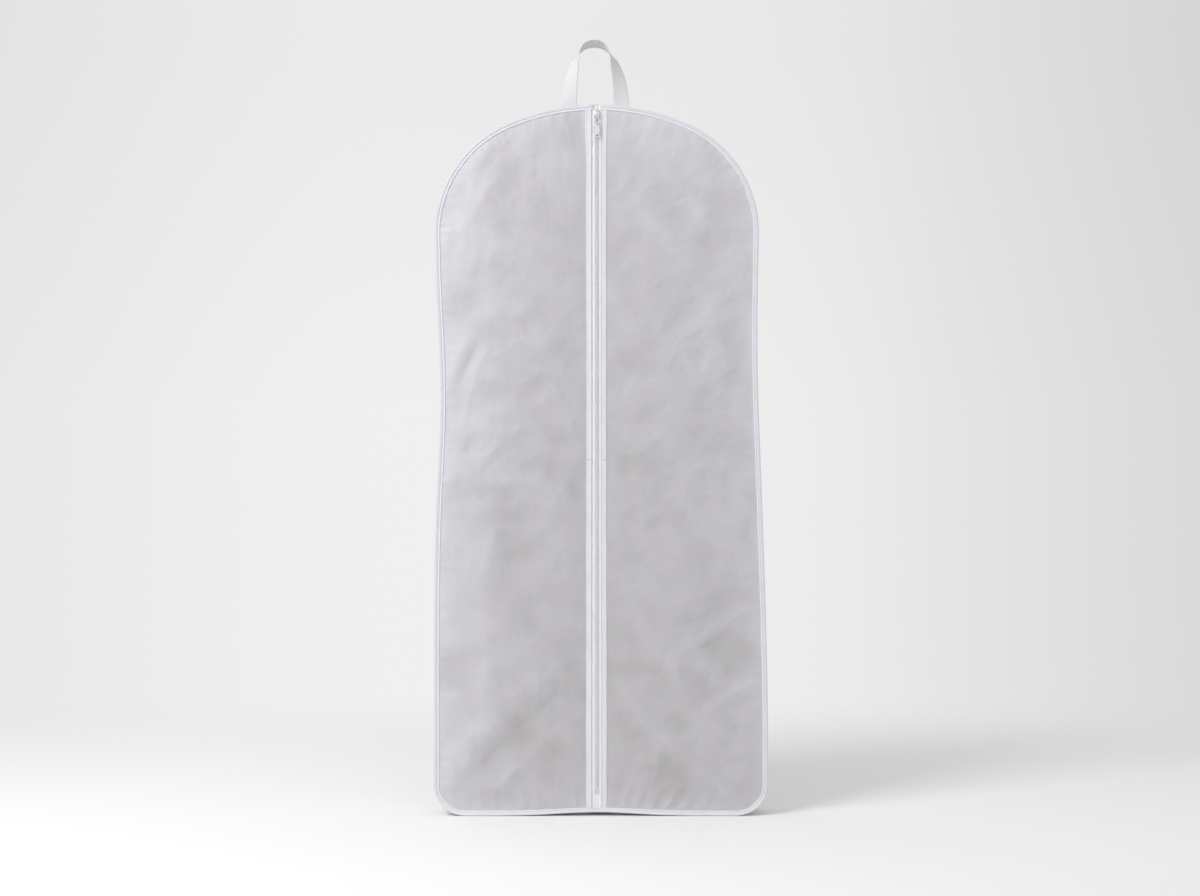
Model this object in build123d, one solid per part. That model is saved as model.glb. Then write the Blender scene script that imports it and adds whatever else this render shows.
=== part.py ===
from build123d import *
import math
import os

os.makedirs("parts", exist_ok=True)

# Garment bag, millimetres. +Z is up and the front, with the zip, faces -Y.
# The origin is the middle of the flat base.

# The bag's outline, seen from the front
bag_width = 610.0
bag_height = 1330.0
bag_depth = 76.0  # over both bindings
crown_radius = 425.0  # arc over the middle of the top
shoulder_drop = 243.0  # from the top down to where the sides run straight
corner_radius = 58.0  # bottom corners

# Film panels and gussets
film = 0.8
panel_recess = 1.2  # each panel lies this far behind its binding's face
binding_width = 10.0
binding_thickness = 3.2
leaf_gap = 0.5  # round the two front panels, which open

# Zip, with its teeth in front of its tapes
zip_opening = 21.0  # between the front panels' edges
facing_width = 10.0
facing_thickness = 0.8
tape_overlap = 8.5  # of each tape behind its panel
tape_thickness = 0.6
tape_gap = 0.5  # from the middle to each tape's edge
coil_width = 2.75
coil_thickness = 2.4
coil_gap = 0.15  # from the middle to each row of teeth
stop_width = 7.5
stop_length = 7.5
stop_height = 45.0  # middle of the bottom stop above the base
stop_thickness = 1.0

# Slider and its pull
slider_width = 11.0
slider_length = 16.0
slider_drop = 10.0  # its top below the bag's top
slider_plate = 1.5
slider_back_plate = 1.2
slider_clearance = 0.3  # round the teeth and the tapes
flange_width = 1.2
neck_width = 2.4
neck_length = 3.5
notch_clearance = 1.5  # from the slider to each end of the front binding
crown_width = 2.6
crown_strap = 1.0
crown_room = 0.31  # round the link's wire as it turns under the crown
crown_length = 9.0
link_wire = 1.4
link_width = 7.6
link_length = 17.0  # between its two pivots
tab_width = 10.0
tab_length = 25.0  # below its pivot
tab_thickness = 1.6
tab_knuckle = 0.9  # wall of the tab's rolled knuckle
pivot_clearance = 0.4

# Carrying loop on top
webbing_width = 29.0
webbing_thickness = 1.6
loop_y = -17.0  # the loop stands in front of the eyelet, clear of a hook
leg_spacing = 98.0  # between the middles of the two sewn ends
loop_rise = 125.0
loop_arc = 28.0  # radius of the arc at the top
twist_power = 1.2  # how late in each leg its quarter twist comes
fold_clearance = 0.6  # over its own sewn ends where it folds
patch_length = 146.0
patch_front = -30.0
patch_back = 26.0
patch_thickness = 0.8
sewn_end = 20.0
sewn_end_start = 1.5  # behind the loop's fold line
tack_length = 25.0
tack_width = 2.5
tack_thickness = 0.5
tack_inset = 3.0  # from each end of a sewn end

# Eyelet for a hanger's hook
eyelet_y = 9.0
eyelet_bore = 16.0
eyelet_wall = 1.0
eyelet_flange = 26.0
eyelet_flange_thickness = 1.0
washer_thickness = 1.0
lip_thickness = 0.8
lip_width = 1.0
eyelet_clearance = 0.1

# Places that follow from the sizes
half_width = bag_width / 2
front = -bag_depth / 2
back = bag_depth / 2
far = 2 * bag_height
shoulder_radius = (
    (crown_radius - shoulder_drop) ** 2 + half_width**2 - crown_radius**2
) / (2 * (half_width - crown_radius))
shoulder_turn = math.degrees(
    math.acos((crown_radius - shoulder_drop) / (crown_radius - shoulder_radius))
)
panel_front = front + panel_recess
panel_back = panel_front + film
tape_back = panel_back + tape_thickness
facing_front = panel_front - facing_thickness
coil_front = panel_back - coil_thickness
slider_top = bag_height - slider_drop
slider_bottom = slider_top - slider_length
slider_front = coil_front - slider_clearance - slider_plate
crown_window = link_wire * math.sqrt(2) + 2 * crown_room
notch_half = slider_width / 2 + notch_clearance
link_pivot_y = slider_front - crown_window / 2
link_pivot_z = slider_top - slider_length / 2
tab_pivot_z = link_pivot_z - link_length
sewn_end_y = loop_y + sewn_end_start
fold_z = bag_height + patch_thickness + webbing_thickness + fold_clearance


def outline(inset):
    """Face of the bag's outline in the XZ plane, moved inwards by inset."""
    side = half_width - inset
    low = corner_radius - inset
    flat = half_width - corner_radius
    shoulder = shoulder_radius - inset
    shoulder_x = half_width - shoulder_radius
    shoulder_z = bag_height - shoulder_drop
    crown_z = bag_height - crown_radius
    crown_start = 90 - shoulder_turn
    edges = [
        Line((-flat, inset), (flat, inset)),
        CenterArc((flat, corner_radius), low, -90, 90),
        Line((side, corner_radius), (side, shoulder_z)),
        CenterArc((shoulder_x, shoulder_z), shoulder, 0, crown_start),
        CenterArc((0, crown_z), crown_radius - inset, crown_start, 2 * shoulder_turn),
        CenterArc((-shoulder_x, shoulder_z), shoulder, 90 + shoulder_turn, crown_start),
        Line((-side, shoulder_z), (-side, corner_radius)),
        CenterArc((-flat, corner_radius), low, 180, 90),
    ]
    return make_face(edges)


def slab(face, near, distant):
    """A face of the XZ plane made solid from y = near back to y = distant."""
    return extrude(Plane.XZ.offset(-distant) * face, distant - near)


def block(low, high):
    """Box between two corners."""
    middle = [(a + b) / 2 for a, b in zip(low, high)]
    size = [b - a for a, b in zip(low, high)]
    return Pos(*middle) * Box(*size)


def mirrored(part):
    """The same piece on the bag's other side."""
    return mirror(part, about=Plane.YZ)


def back_panel():
    return slab(outline(binding_width), back - panel_recess - film, back - panel_recess)


def gusset(low, high):
    """The part of the gusset between two heights; it runs from binding to binding."""
    ring = slab(
        outline(0) - outline(film), front + binding_thickness, back - binding_thickness
    )
    return ring & block((-far, -far, low), (far, far, high))


def binding(near):
    """Folded tape round one panel, sewn over the seam of panel and gusset."""
    return slab(outline(0) - outline(binding_width), near, near + binding_thickness)


def front_binding():
    """The front tape has a gap at the top, where the zip comes up between its ends."""
    top = bag_height - 2 * binding_width
    return binding(front) - block((-notch_half, -far, top), (notch_half, far, far))


def front_panel():
    """The left front panel, from its binding to the zip."""
    half = block((-far, -far, -far), (-zip_opening / 2, far, far))
    return slab(outline(binding_width + leaf_gap), panel_front, panel_back) & half


def inside_front(part):
    """What of a part lies inside the outline that the front panels fill."""
    return part & slab(outline(binding_width + leaf_gap), -far, far)


def zip_facing():
    """Strip sewn along the left panel's edge, over the tape."""
    edge = -zip_opening / 2
    strip = block((edge - facing_width, facing_front, -far), (edge, panel_front, far))
    return inside_front(strip)


def zip_tape():
    """The left tape: behind the panel, and up between the ends of the binding."""
    edge = -zip_opening / 2 - tape_overlap
    wide = inside_front(block((edge, panel_back, -far), (-tape_gap, tape_back, far)))
    parted = neck_width / 2 + slider_clearance
    end = block(
        (slider_clearance - notch_half, panel_back, slider_bottom + slider_length / 2),
        (-parted, tape_back, slider_top),
    )
    neck_room = block(
        (-parted, -far, slider_top - neck_length - slider_clearance), (0, far, far)
    )
    return wide - neck_room + end


def zip_coil():
    """The left row of teeth, from the bottom stop up into the slider."""
    outer = -coil_gap - coil_width
    top = slider_top - neck_length - slider_clearance
    bottom = stop_height + stop_length / 2 + slider_clearance
    return block((outer, coil_front, bottom), (-coil_gap, panel_back, top))


def bottom_stop():
    """Metal staple across the zip's lower end, just in front of its tapes."""
    half = stop_width / 2
    near = panel_back - slider_clearance - stop_thickness
    low = stop_height - stop_length / 2
    stop = block((-half, near, low), (half, near + stop_thickness, low + stop_length))
    return fillet(stop.edges().filter_by(Axis.Y), stop_thickness)


def slider_body():
    """Front and back plates joined by a neck, with flanges beside the teeth."""
    half = slider_width / 2
    plate_back = slider_front + slider_plate
    rear = tape_back + slider_clearance
    face = RectangleRounded(slider_width, slider_length, half / 2)
    face = Pos(0, slider_top - slider_length / 2) * face
    body = slab(face, slider_front, plate_back) + slab(face, rear, rear + slider_back_plate)
    neck_low = slider_top - neck_length
    body += block(
        (-neck_width / 2, slider_front, neck_low), (neck_width / 2, rear, slider_top - 1)
    )
    flange = block(
        (half - flange_width, plate_back, slider_bottom + half / 2),
        (half, panel_back - slider_clearance, slider_top - half),
    )
    return body + flange + mirrored(flange)


def slider_crown():
    """Strap over the slider's front that holds the pull's link."""
    half = crown_width / 2
    low = link_pivot_z - crown_length / 2
    near = slider_front - crown_window - crown_strap
    strap = block((-half, near, low), (half, slider_front, low + crown_length))
    window = block(
        (-half, slider_front - crown_window, low + crown_strap),
        (half, slider_front, low + crown_length - crown_strap),
    )
    outer = strap.edges().filter_by(Axis.X).group_by(Axis.Y)[0]
    return fillet(outer, crown_strap) - window


def pull_link():
    """Wire ring between the slider's crown and the tab."""
    half = link_width / 2
    top = link_pivot_z + link_wire / 2
    bottom = tab_pivot_z - link_wire / 2
    bars = [
        ((-half, top - link_wire), (half, top)),
        ((-half, bottom), (half, bottom + link_wire)),
        ((-half, bottom), (link_wire - half, top)),
        ((half - link_wire, bottom), (half, top)),
    ]
    near = link_pivot_y - link_wire / 2
    return Part() + [
        block((x0, near, z0), (x1, near + link_wire, z1)) for (x0, z0), (x1, z1) in bars
    ]


def pull_tab():
    """Flat tab with a hole in its tip; its rolled knuckle turns on the link's lower bar."""
    hole = link_wire / 2 * math.sqrt(2) + pivot_clearance
    knuckle_width = link_width - 2 * link_wire - 2 * pivot_clearance
    axis = Pos(0, link_pivot_y, tab_pivot_z) * Rot(0, 90, 0)
    low = tab_pivot_z - hole - tab_knuckle / 2
    near = link_pivot_y - tab_thickness / 2
    face = Pos(0, low - tab_length / 2) * RectangleRounded(
        tab_width, tab_length, tab_width / 4
    )
    tip = Pos(0, low - tab_length + tab_width / 2) * Circle(tab_width / 5)
    tab = slab(face - tip, near, near + tab_thickness)
    return tab + axis * Cylinder(hole + tab_knuckle, knuckle_width) - axis * Cylinder(
        hole, link_width
    )


def arch_layer(x0, x1, y0, y1, below, above):
    """Layer over the bag's top between two x and two y, from below to above it."""
    layer = slab(outline(-above) - outline(-below), y0, y1)
    return layer & block((x0, -far, bag_height / 2), (x1, far, far))


def hook_hole():
    """Cutter for the eyelet's barrel through the bag's top."""
    radius = eyelet_bore / 2 + eyelet_wall + eyelet_clearance
    return Pos(0, eyelet_y, bag_height) * Cylinder(radius, 2 * binding_width)


def gusset_arch():
    return gusset(bag_height - shoulder_drop, far) - hook_hole()


def top_patch():
    """Reinforcement under the loop's sewn ends and round the eyelet."""
    half = patch_length / 2
    patch = arch_layer(-half, half, patch_front, patch_back, 0, patch_thickness)
    return patch - hook_hole()


def loop_end():
    """The left sewn end of the carrying loop, flat on the patch behind the fold."""
    middle = -leg_spacing / 2
    half = webbing_width / 2
    low = patch_thickness
    return arch_layer(
        middle - half,
        middle + half,
        sewn_end_y,
        sewn_end_y + sewn_end,
        low,
        low + webbing_thickness,
    )


def bar_tacks():
    """Dense bars of stitching across the two sewn ends."""
    low = patch_thickness + webbing_thickness
    first = sewn_end_y + tack_inset
    last = sewn_end_y + sewn_end - tack_inset - tack_width
    tacks = []
    for middle in (-leg_spacing / 2, leg_spacing / 2):
        for y in (first, last):
            tacks.append(
                arch_layer(
                    middle - tack_length / 2,
                    middle + tack_length / 2,
                    y,
                    y + tack_width,
                    low,
                    low + tack_thickness,
                )
            )
    return Part() + tacks


def loop_section(x, z, lean, twist):
    """Cross-section of the webbing at a point of the loop, normal to its run."""
    run = Vector(math.sin(lean), 0, math.cos(lean))
    across = Vector(math.cos(lean), 0, -math.sin(lean))
    wide = across * math.cos(twist) + Vector(0, 1, 0) * math.sin(twist)
    return Plane((x, loop_y, z), x_dir=wide, z_dir=run) * Rectangle(
        webbing_width, webbing_thickness
    )


def carrying_loop():
    """Two flat legs that each take a quarter twist, and the arc between them."""
    arc_z = bag_height + loop_rise - loop_arc
    leg_steps = 6
    arc_steps = 8
    sections = []
    for i in range(leg_steps):
        t = i / leg_steps
        x = -leg_spacing / 2 + t * (leg_spacing / 2 - loop_arc)
        twist = math.pi / 2 * t**twist_power
        sections.append(loop_section(x, fold_z + t * (arc_z - fold_z), 0, twist))
    for i in range(arc_steps + 1):
        lean = math.pi * i / arc_steps
        x = -loop_arc * math.cos(lean)
        z = arc_z + loop_arc * math.sin(lean)
        sections.append(loop_section(x, z, lean, math.pi / 2))
    for i in reversed(range(leg_steps)):
        t = i / leg_steps
        x = leg_spacing / 2 - t * (leg_spacing / 2 - loop_arc)
        twist = math.pi / 2 * t**twist_power
        sections.append(
            loop_section(x, fold_z + t * (arc_z - fold_z), math.pi, twist)
        )
    return loft(sections, ruled=True)


def ring(outer, inner, low, high):
    """Flat ring about the eyelet's axis between two heights."""
    face = Circle(outer) - Circle(inner)
    return extrude(Pos(0, eyelet_y, low) * face, high - low)


# Heights of the eyelet's pieces; the washer lies below the arch of the top
eyelet_seat = bag_height + patch_thickness
arch_sag = crown_radius - math.sqrt(crown_radius**2 - (eyelet_flange / 2) ** 2)
washer_top = bag_height - film - arch_sag
washer_bottom = washer_top - washer_thickness


def hanger_eyelet():
    """Flange on top, barrel through the layers, and a lip rolled under the washer."""
    bore = eyelet_bore / 2
    barrel = bore + eyelet_wall
    low = washer_bottom - lip_thickness
    high = eyelet_seat + eyelet_flange_thickness
    flange = ring(eyelet_flange / 2, bore, eyelet_seat, high)
    lip = ring(barrel + lip_width, bore, low, washer_bottom)
    return flange + ring(barrel, bore, low, high) + lip


def eyelet_washer():
    inner = eyelet_bore / 2 + eyelet_wall
    return ring(eyelet_flange / 2, inner, washer_bottom, washer_top)


nodes = {
    "back_panel": back_panel(),
    "gusset_base": gusset(-far, corner_radius),
    "gusset_left": gusset(corner_radius, bag_height - shoulder_drop)
    & block((-far, -far, -far), (0, far, far)),
    "gusset_right": gusset(corner_radius, bag_height - shoulder_drop)
    & block((0, -far, -far), (far, far, far)),
    "gusset_arch": gusset_arch(),
    "back_binding": binding(back - binding_thickness),
    "front_binding": front_binding(),
    "front_panel_left": front_panel(),
    "front_panel_right": mirrored(front_panel()),
    "zip_facing_left": zip_facing(),
    "zip_facing_right": mirrored(zip_facing()),
    "zip_tape_left": zip_tape(),
    "zip_tape_right": mirrored(zip_tape()),
    "zip_coil_left": zip_coil(),
    "zip_coil_right": mirrored(zip_coil()),
    "bottom_stop": bottom_stop(),
    "slider_body": slider_body(),
    "slider_crown": slider_crown(),
    "pull_link": pull_link(),
    "pull_tab": pull_tab(),
    "top_patch": top_patch(),
    "loop_end_left": loop_end(),
    "loop_end_right": mirrored(loop_end()),
    "bar_tacks": bar_tacks(),
    "carrying_loop": carrying_loop(),
    "hanger_eyelet": hanger_eyelet(),
    "eyelet_washer": eyelet_washer(),
}

for name, part in nodes.items():
    export_step(part, f"parts/{name}.step")
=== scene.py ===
import math

import bmesh
import bpy
import numpy as np
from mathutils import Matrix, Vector


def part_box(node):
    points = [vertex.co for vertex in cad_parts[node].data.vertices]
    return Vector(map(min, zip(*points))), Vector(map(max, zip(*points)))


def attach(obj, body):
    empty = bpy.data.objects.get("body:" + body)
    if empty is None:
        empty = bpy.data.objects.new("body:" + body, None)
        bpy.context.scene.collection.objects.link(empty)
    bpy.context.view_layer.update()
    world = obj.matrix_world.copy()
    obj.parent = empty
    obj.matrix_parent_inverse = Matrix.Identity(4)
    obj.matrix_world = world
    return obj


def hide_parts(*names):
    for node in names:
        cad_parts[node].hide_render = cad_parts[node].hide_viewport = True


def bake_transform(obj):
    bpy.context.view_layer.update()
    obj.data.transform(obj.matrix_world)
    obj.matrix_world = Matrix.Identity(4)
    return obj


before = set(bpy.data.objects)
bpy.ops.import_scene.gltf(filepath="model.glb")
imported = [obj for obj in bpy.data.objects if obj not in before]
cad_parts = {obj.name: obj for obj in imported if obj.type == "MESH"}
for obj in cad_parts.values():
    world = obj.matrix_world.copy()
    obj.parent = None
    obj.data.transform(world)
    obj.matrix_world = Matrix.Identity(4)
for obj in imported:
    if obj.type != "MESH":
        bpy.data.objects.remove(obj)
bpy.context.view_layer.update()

MM = 0.001


# ---- Room ---------------------------------------------------------------
# A pale round floor that fades into a pale backdrop, one large soft lamp
# from the front left, weak ones in front and behind, and a level camera.

FRONT_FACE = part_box("front_binding")[0][1]
BAG_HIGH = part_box("back_binding")[1]
HALF_WIDTH = BAG_HIGH[0]
HEIGHT = BAG_HIGH[2]

CAMERA_AWAY = 3.6
CAMERA_HEIGHT = 0.688
CAMERA_ASIDE = 0.0055
VIEW_WIDTH = 2.244  # what the view takes in across, at the bag's front
SENSOR = 36.0


def feed(tree, node, inputs):
    """Gives a node's inputs their values, each a plain value or another node's output."""
    for key, value in inputs.items():
        if isinstance(value, bpy.types.NodeSocket):
            tree.links.new(value, node.inputs[key])
        else:
            node.inputs[key].default_value = value


def put(tree, kind, inputs=None, **settings):
    """A new node in a tree, with its settings and its inputs."""
    node = tree.nodes.new(kind)
    for key, value in settings.items():
        setattr(node, key, value)
    feed(tree, node, inputs or {})
    return node


def arith(tree, operation, *values, clamp=False):
    """Output of a Math node on its values."""
    inputs = dict(enumerate(values))
    return put(tree, "ShaderNodeMath", inputs, operation=operation, use_clamp=clamp).outputs[0]


def spread(tree, value, low, high, first=0.0, last=1.0, curve="LINEAR"):
    """Output that goes from first to last as the value goes from low to high."""
    ends = {"Value": value, "From Min": low, "From Max": high, "To Min": first, "To Max": last}
    return put(tree, "ShaderNodeMapRange", ends, interpolation_type=curve).outputs[0]


def material(name):
    """An empty node material and its Principled shader, joined to the output."""
    made = bpy.data.materials.new(name)
    made.use_nodes = True
    tree = made.node_tree
    tree.nodes.clear()
    shader = put(tree, "ShaderNodeBsdfPrincipled")
    put(tree, "ShaderNodeOutputMaterial", {"Surface": shader.outputs[0]})
    return made, tree, shader


def mesh_piece(name, points, faces, made, uv=None, lit=None, caps=(), milk_and_light=None):
    """Object with its place in its mesh, its faces turned outwards and its loose points left out.

    uv gives each point's two values, lit each point's normal, and caps are many-sided faces.
    """
    used = np.unique(faces)
    renumber = np.zeros(len(points), np.int64)
    renumber[used] = np.arange(len(used))
    corners = renumber[faces].tolist() + [renumber[np.asarray(cap)].tolist() for cap in caps]
    mesh = bpy.data.meshes.new(name)
    mesh.from_pydata(points[used].tolist(), [], corners)
    mesh.materials.append(made)
    work = bmesh.new()
    work.from_mesh(mesh)
    bmesh.ops.recalc_face_normals(work, faces=work.faces)
    work.to_mesh(mesh)
    work.free()
    mesh.polygons.foreach_set("use_smooth", np.full(len(corners), True))
    if uv is not None:
        corner = np.zeros(len(mesh.loops), np.int32)
        mesh.loops.foreach_get("vertex_index", corner)
        layer = mesh.uv_layers.new(name="UVMap")
        layer.data.foreach_set("uv", uv[used][corner].astype(np.float32).ravel())
    # The point attribute holds the film's milkiness with painted light and shade, or the binding's painted
    # shade.
    if milk_and_light is not None:
        whiteness = mesh.attributes.new("milk_and_light", "FLOAT", "POINT")
        whiteness.data.foreach_set("value", milk_and_light[used].astype(np.float32))
    if lit is not None:
        mesh.normals_split_custom_set_from_vertices(lit[used].tolist())
    piece = bpy.data.objects.new(name, mesh)
    bpy.context.scene.collection.objects.link(piece)
    return piece


def xyz(x, y, z):
    """Points from their three coordinates, each an array or a single value."""
    return np.stack(np.broadcast_arrays(x, y, z), -1)


def circle(count):
    """Angles evenly round a circle."""
    return np.linspace(0, 2 * np.pi, count, endpoint=False)


def grid_faces(rows, columns, wrap_rows=False, wrap_columns=False):
    """Four-sided faces of a grid of points kept row by row, closed round if it wraps."""
    r = np.arange(rows if wrap_rows else rows - 1)[:, None]
    c = np.arange(columns if wrap_columns else columns - 1)[None, :]
    below, beside = (r + 1) % rows, (c + 1) % columns
    corners = (
        r * columns + c,
        r * columns + beside,
        below * columns + beside,
        below * columns + c,
    )
    return np.stack([np.broadcast_to(k, np.broadcast(r, c).shape) for k in corners], -1).reshape(-1, 4)


scene = bpy.context.scene
scene.view_settings.view_transform = "Standard"

camera_data = bpy.data.cameras.new("camera")
camera_data.sensor_fit = "HORIZONTAL"
camera_data.sensor_width = SENSOR
camera_data.lens = SENSOR * CAMERA_AWAY / VIEW_WIDTH
camera_data.clip_start = 0.05
camera_data.clip_end = 60
camera = bpy.data.objects.new("camera", camera_data)
camera.location = (CAMERA_ASIDE, FRONT_FACE - CAMERA_AWAY, CAMERA_HEIGHT)
camera.rotation_euler = (math.pi / 2, 0, 0)
scene.collection.objects.link(camera)
scene.camera = camera


def soft_lamp(name, place, aim, width, height, watts, colour=(1, 1, 1)):
    """Rectangular area lamp turned from its place towards a point."""
    data = bpy.data.lights.new(name, "AREA")
    data.shape = "RECTANGLE"
    data.size = width
    data.size_y = height
    data.energy = watts
    data.color = colour
    lamp = bpy.data.objects.new(name, data)
    lamp.location = place
    lamp.rotation_euler = (Vector(aim) - Vector(place)).to_track_quat("-Z", "Y").to_euler()
    scene.collection.objects.link(lamp)
    return lamp


soft_lamp("window_left", (-2.1, -2.1, 2.9), (0, 0, 0.6), 1.5, 1.8, 74, (1, 0.995, 0.985))
soft_lamp("fill_front", (1.2, -3.4, 1.2), (0, 0, 0.7), 2.4, 2.0, 12)
soft_lamp("fill_back", (-2.2, 2.2, 2.6), (0, 0, 0.7), 1.6, 1.6, 5)

world = bpy.data.worlds.new("studio")
scene.world = world
world.use_nodes = True
sky = world.node_tree
sky.nodes.clear()
direction = put(sky, "ShaderNodeTexCoord").outputs["Generated"]
apart = put(sky, "ShaderNodeSeparateXYZ", {"Vector": direction}).outputs
wall = put(sky, "ShaderNodeValToRGB", {"Fac": spread(sky, apart["X"], -0.35, 0.35)})
wall.color_ramp.interpolation = "B_SPLINE"
# Grey of the backdrop at shares of the way from left to right: painted light, brightest a little left of the
# middle and falling off to both sides.
WALL_GREYS = [
    (0.0, 0.775), (0.07, 0.80), (0.3, 0.88), (0.5, 0.858),
    (0.64, 0.85), (0.75, 0.795), (0.93, 0.685), (1.0, 0.66),
]
for spot, grey in WALL_GREYS[1:-1]:
    wall.color_ramp.elements.new(spot)
for stop, (spot, grey) in zip(wall.color_ramp.elements, WALL_GREYS):
    stop.position = spot
    stop.color = (grey, grey, grey * 0.998, 1)
# Painted light falloff: the backdrop is drawn a little darker higher up.
upwards = spread(sky, apart["Z"], 0.02, 0.2, 1.0, 0.955)
backdrop = put(sky, "ShaderNodeVectorMath", {0: wall.outputs[0], 1: upwards}, operation="MULTIPLY")
seen = put(sky, "ShaderNodeLightPath").outputs
shown = arith(sky, "ADD", seen["Is Camera Ray"], seen["Is Glossy Ray"])
shown = arith(sky, "ADD", shown, seen["Is Transmission Ray"], clamp=True)
around = put(sky, "ShaderNodeBackground", {"Color": (1, 1, 1, 1), "Strength": 0.64})
picture = put(sky, "ShaderNodeBackground", {"Color": backdrop.outputs[0], "Strength": 1.0})
either = put(sky, "ShaderNodeMixShader", {0: shown, 1: around.outputs[0], 2: picture.outputs[0]})
put(sky, "ShaderNodeOutputWorld", {"Surface": either.outputs[0]})


def floor_disc():
    """Flat disc of rings with a round cap in the middle; its far part fades out, so no edge shows."""
    rings, spokes = 24, 96
    radius = np.linspace(0.02, 3.4, rings)[:, None]
    turn = circle(spokes)[None, :]
    points = xyz(radius * np.cos(turn), radius * np.sin(turn), -0.6 * MM)
    made, tree, shader = material("studio_floor")
    place = put(tree, "ShaderNodeTexCoord").outputs["Object"]
    oval = put(tree, "ShaderNodeVectorMath", {0: place, 1: (0.55, 1.0, 0.0)}, operation="MULTIPLY")
    far = put(tree, "ShaderNodeVectorMath", {0: oval.outputs[0]}, operation="LENGTH").outputs["Value"]
    surface = {
        "Alpha": spread(tree, far, 0.45, 1.85, 1.0, 0.0, "SMOOTHERSTEP"),
        "Base Color": (0.94, 0.94, 0.936, 1),
        "Roughness": 0.9,
        "Specular IOR Level": 0.1,
    }
    feed(tree, shader, surface)
    faces = grid_faces(rings, spokes, wrap_columns=True)
    return mesh_piece("studio_floor", points.reshape(-1, 3), faces, made, caps=[np.arange(spokes)])


floor_disc()


# ---- Gusset -------------------------------------------------------------
# Four strips of frosted film between the two bound seams: the base, the two
# sides and the arched top. They are sewn end to end and hang a little slack.

CORNER = 58 * MM
SHOULDER_DROP = 243 * MM
CROWN = 425 * MM
SHOULDER = ((CROWN - SHOULDER_DROP) ** 2 + HALF_WIDTH**2 - CROWN**2) / (2 * (HALF_WIDTH - CROWN))
SHOULDER_TURN = math.acos((CROWN - SHOULDER_DROP) / (CROWN - SHOULDER))
BASE_RUN = HALF_WIDTH - CORNER
SIDE_TOP = HEIGHT - SHOULDER_DROP
SHOULDER_RUN = SHOULDER * (np.pi / 2 - SHOULDER_TURN)
# How far round from the middle of the base each part of the outline ends.
RUNS = np.cumsum([BASE_RUN, CORNER * np.pi / 2, SIDE_TOP - CORNER, SHOULDER_RUN, CROWN * SHOULDER_TURN])
HALF_ROUND = RUNS[-1]
BACK_FACE = BAG_HIGH[1]
FRONT_SEAM = FRONT_FACE + 2.5 * MM
BACK_SEAM = BACK_FACE - 2.5 * MM
FILM = 0.4 * MM


def rim(s):
    """Place (x, z) and outward direction on the outline, s metres round from the middle of the base.

    The right half is a straight run, a corner arc, a straight side, a shoulder arc and
    half of the crown arc; a negative s gives its mirror image.
    """
    s = np.where(s > HALF_ROUND, s - 2 * HALF_ROUND, s)
    side, s = np.where(s < 0, -1.0, 1.0), np.abs(s)
    corner = np.clip((s - RUNS[0]) / CORNER, 0, np.pi / 2)
    shoulder = np.clip((s - RUNS[2]) / SHOULDER, 0, np.pi / 2 - SHOULDER_TURN)
    crown = np.clip((s - RUNS[3]) / CROWN, 0, None)
    turn = corner - np.pi / 2 + shoulder + crown
    nx, nz = np.cos(turn), np.sin(turn)
    part = [s <= RUNS[0], s <= RUNS[1], s <= RUNS[2], s <= RUNS[3]]
    x = np.select(
        part,
        [s, BASE_RUN + CORNER * nx, HALF_WIDTH + 0 * s, HALF_WIDTH - SHOULDER + SHOULDER * nx],
        CROWN * nx,
    )
    z = np.select(
        part,
        [0 * s, CORNER + CORNER * nz, CORNER + s - RUNS[1], SIDE_TOP + SHOULDER * nz],
        HEIGHT - CROWN + CROWN * nz,
    )
    return np.stack([side * x, z], -1), np.stack([side * nx, nz], -1)


def bell(value, width):
    """exp(-(value / width)^2): 1 at nought, and close to 0 at twice the width."""
    return np.exp(-((value / width) ** 2))


def smooth(value, low, high):
    """0 at low, 1 at high, and 3t^2 - 2t^3 between them."""
    t = np.clip((value - low) / (high - low), 0, 1)
    return t * t * (3 - 2 * t)


WAIST_LEFT = 12 * MM
FLARE_RIGHT = 15 * MM
TUCK_RIGHT = 5 * MM
BASE_LIFT = 7 * MM
LIFT_REACH = 95 * MM
LIFT_RISE = 50 * MM


def stand(points):
    """How the bag stands: its left side drawn in at the waist, its right side out to the foot.

    Each side moves in proportion to its distance from the zip, and the front seam is
    lifted off the floor at the zip's foot.
    """
    p = np.array(points, float)
    x, y, z = p[..., 0], p[..., 1], p[..., 2]
    out = x / HALF_WIDTH
    waist = WAIST_LEFT * bell(z - 0.78, 0.2)
    flare = FLARE_RIGHT * smooth(z, 0.85, 0.12) - TUCK_RIGHT * bell(z - 0.9, 0.22)
    p[..., 0] = x + np.where(x < 0, -out * waist, out * flare)
    near = smooth(y, FRONT_SEAM + 13 * MM, FRONT_SEAM + 3 * MM)
    lift = BASE_LIFT * near * bell(x, LIFT_REACH)
    p[..., 2] = z + lift * np.exp(-np.maximum(z, 0) / LIFT_RISE)
    return p


def billow(a, b, seed, long, short, count=26):
    """Relief of handled film over two coordinates, about -1 to 1.

    Waves of random direction are added, the long ones tallest, each bent by a slow
    sine; the sum is then folded along its zero line, which leaves soft creases.
    """
    draw = np.random.default_rng(seed)
    wave = np.geomspace(long, short, count)
    turn = draw.uniform(0, np.pi, count)
    phase = draw.uniform(0, 2 * np.pi, count)
    bend = 0.9 * np.sin(a / long * 4 + 1.3) + 0.9 * np.cos(b / long * 5 + 0.4)
    total = np.zeros(np.broadcast(a, b).shape)
    for w, t, f in zip(wave, turn, phase):
        run = 2 * np.pi * (a * np.cos(t) + b * np.sin(t)) / w
        total = total + (w / long) ** 0.9 * np.sin(run + f + bend)
    total = total / 3
    return 0.55 * total + 0.75 * (0.45 - np.sqrt(total**2 + 0.03))


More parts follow.
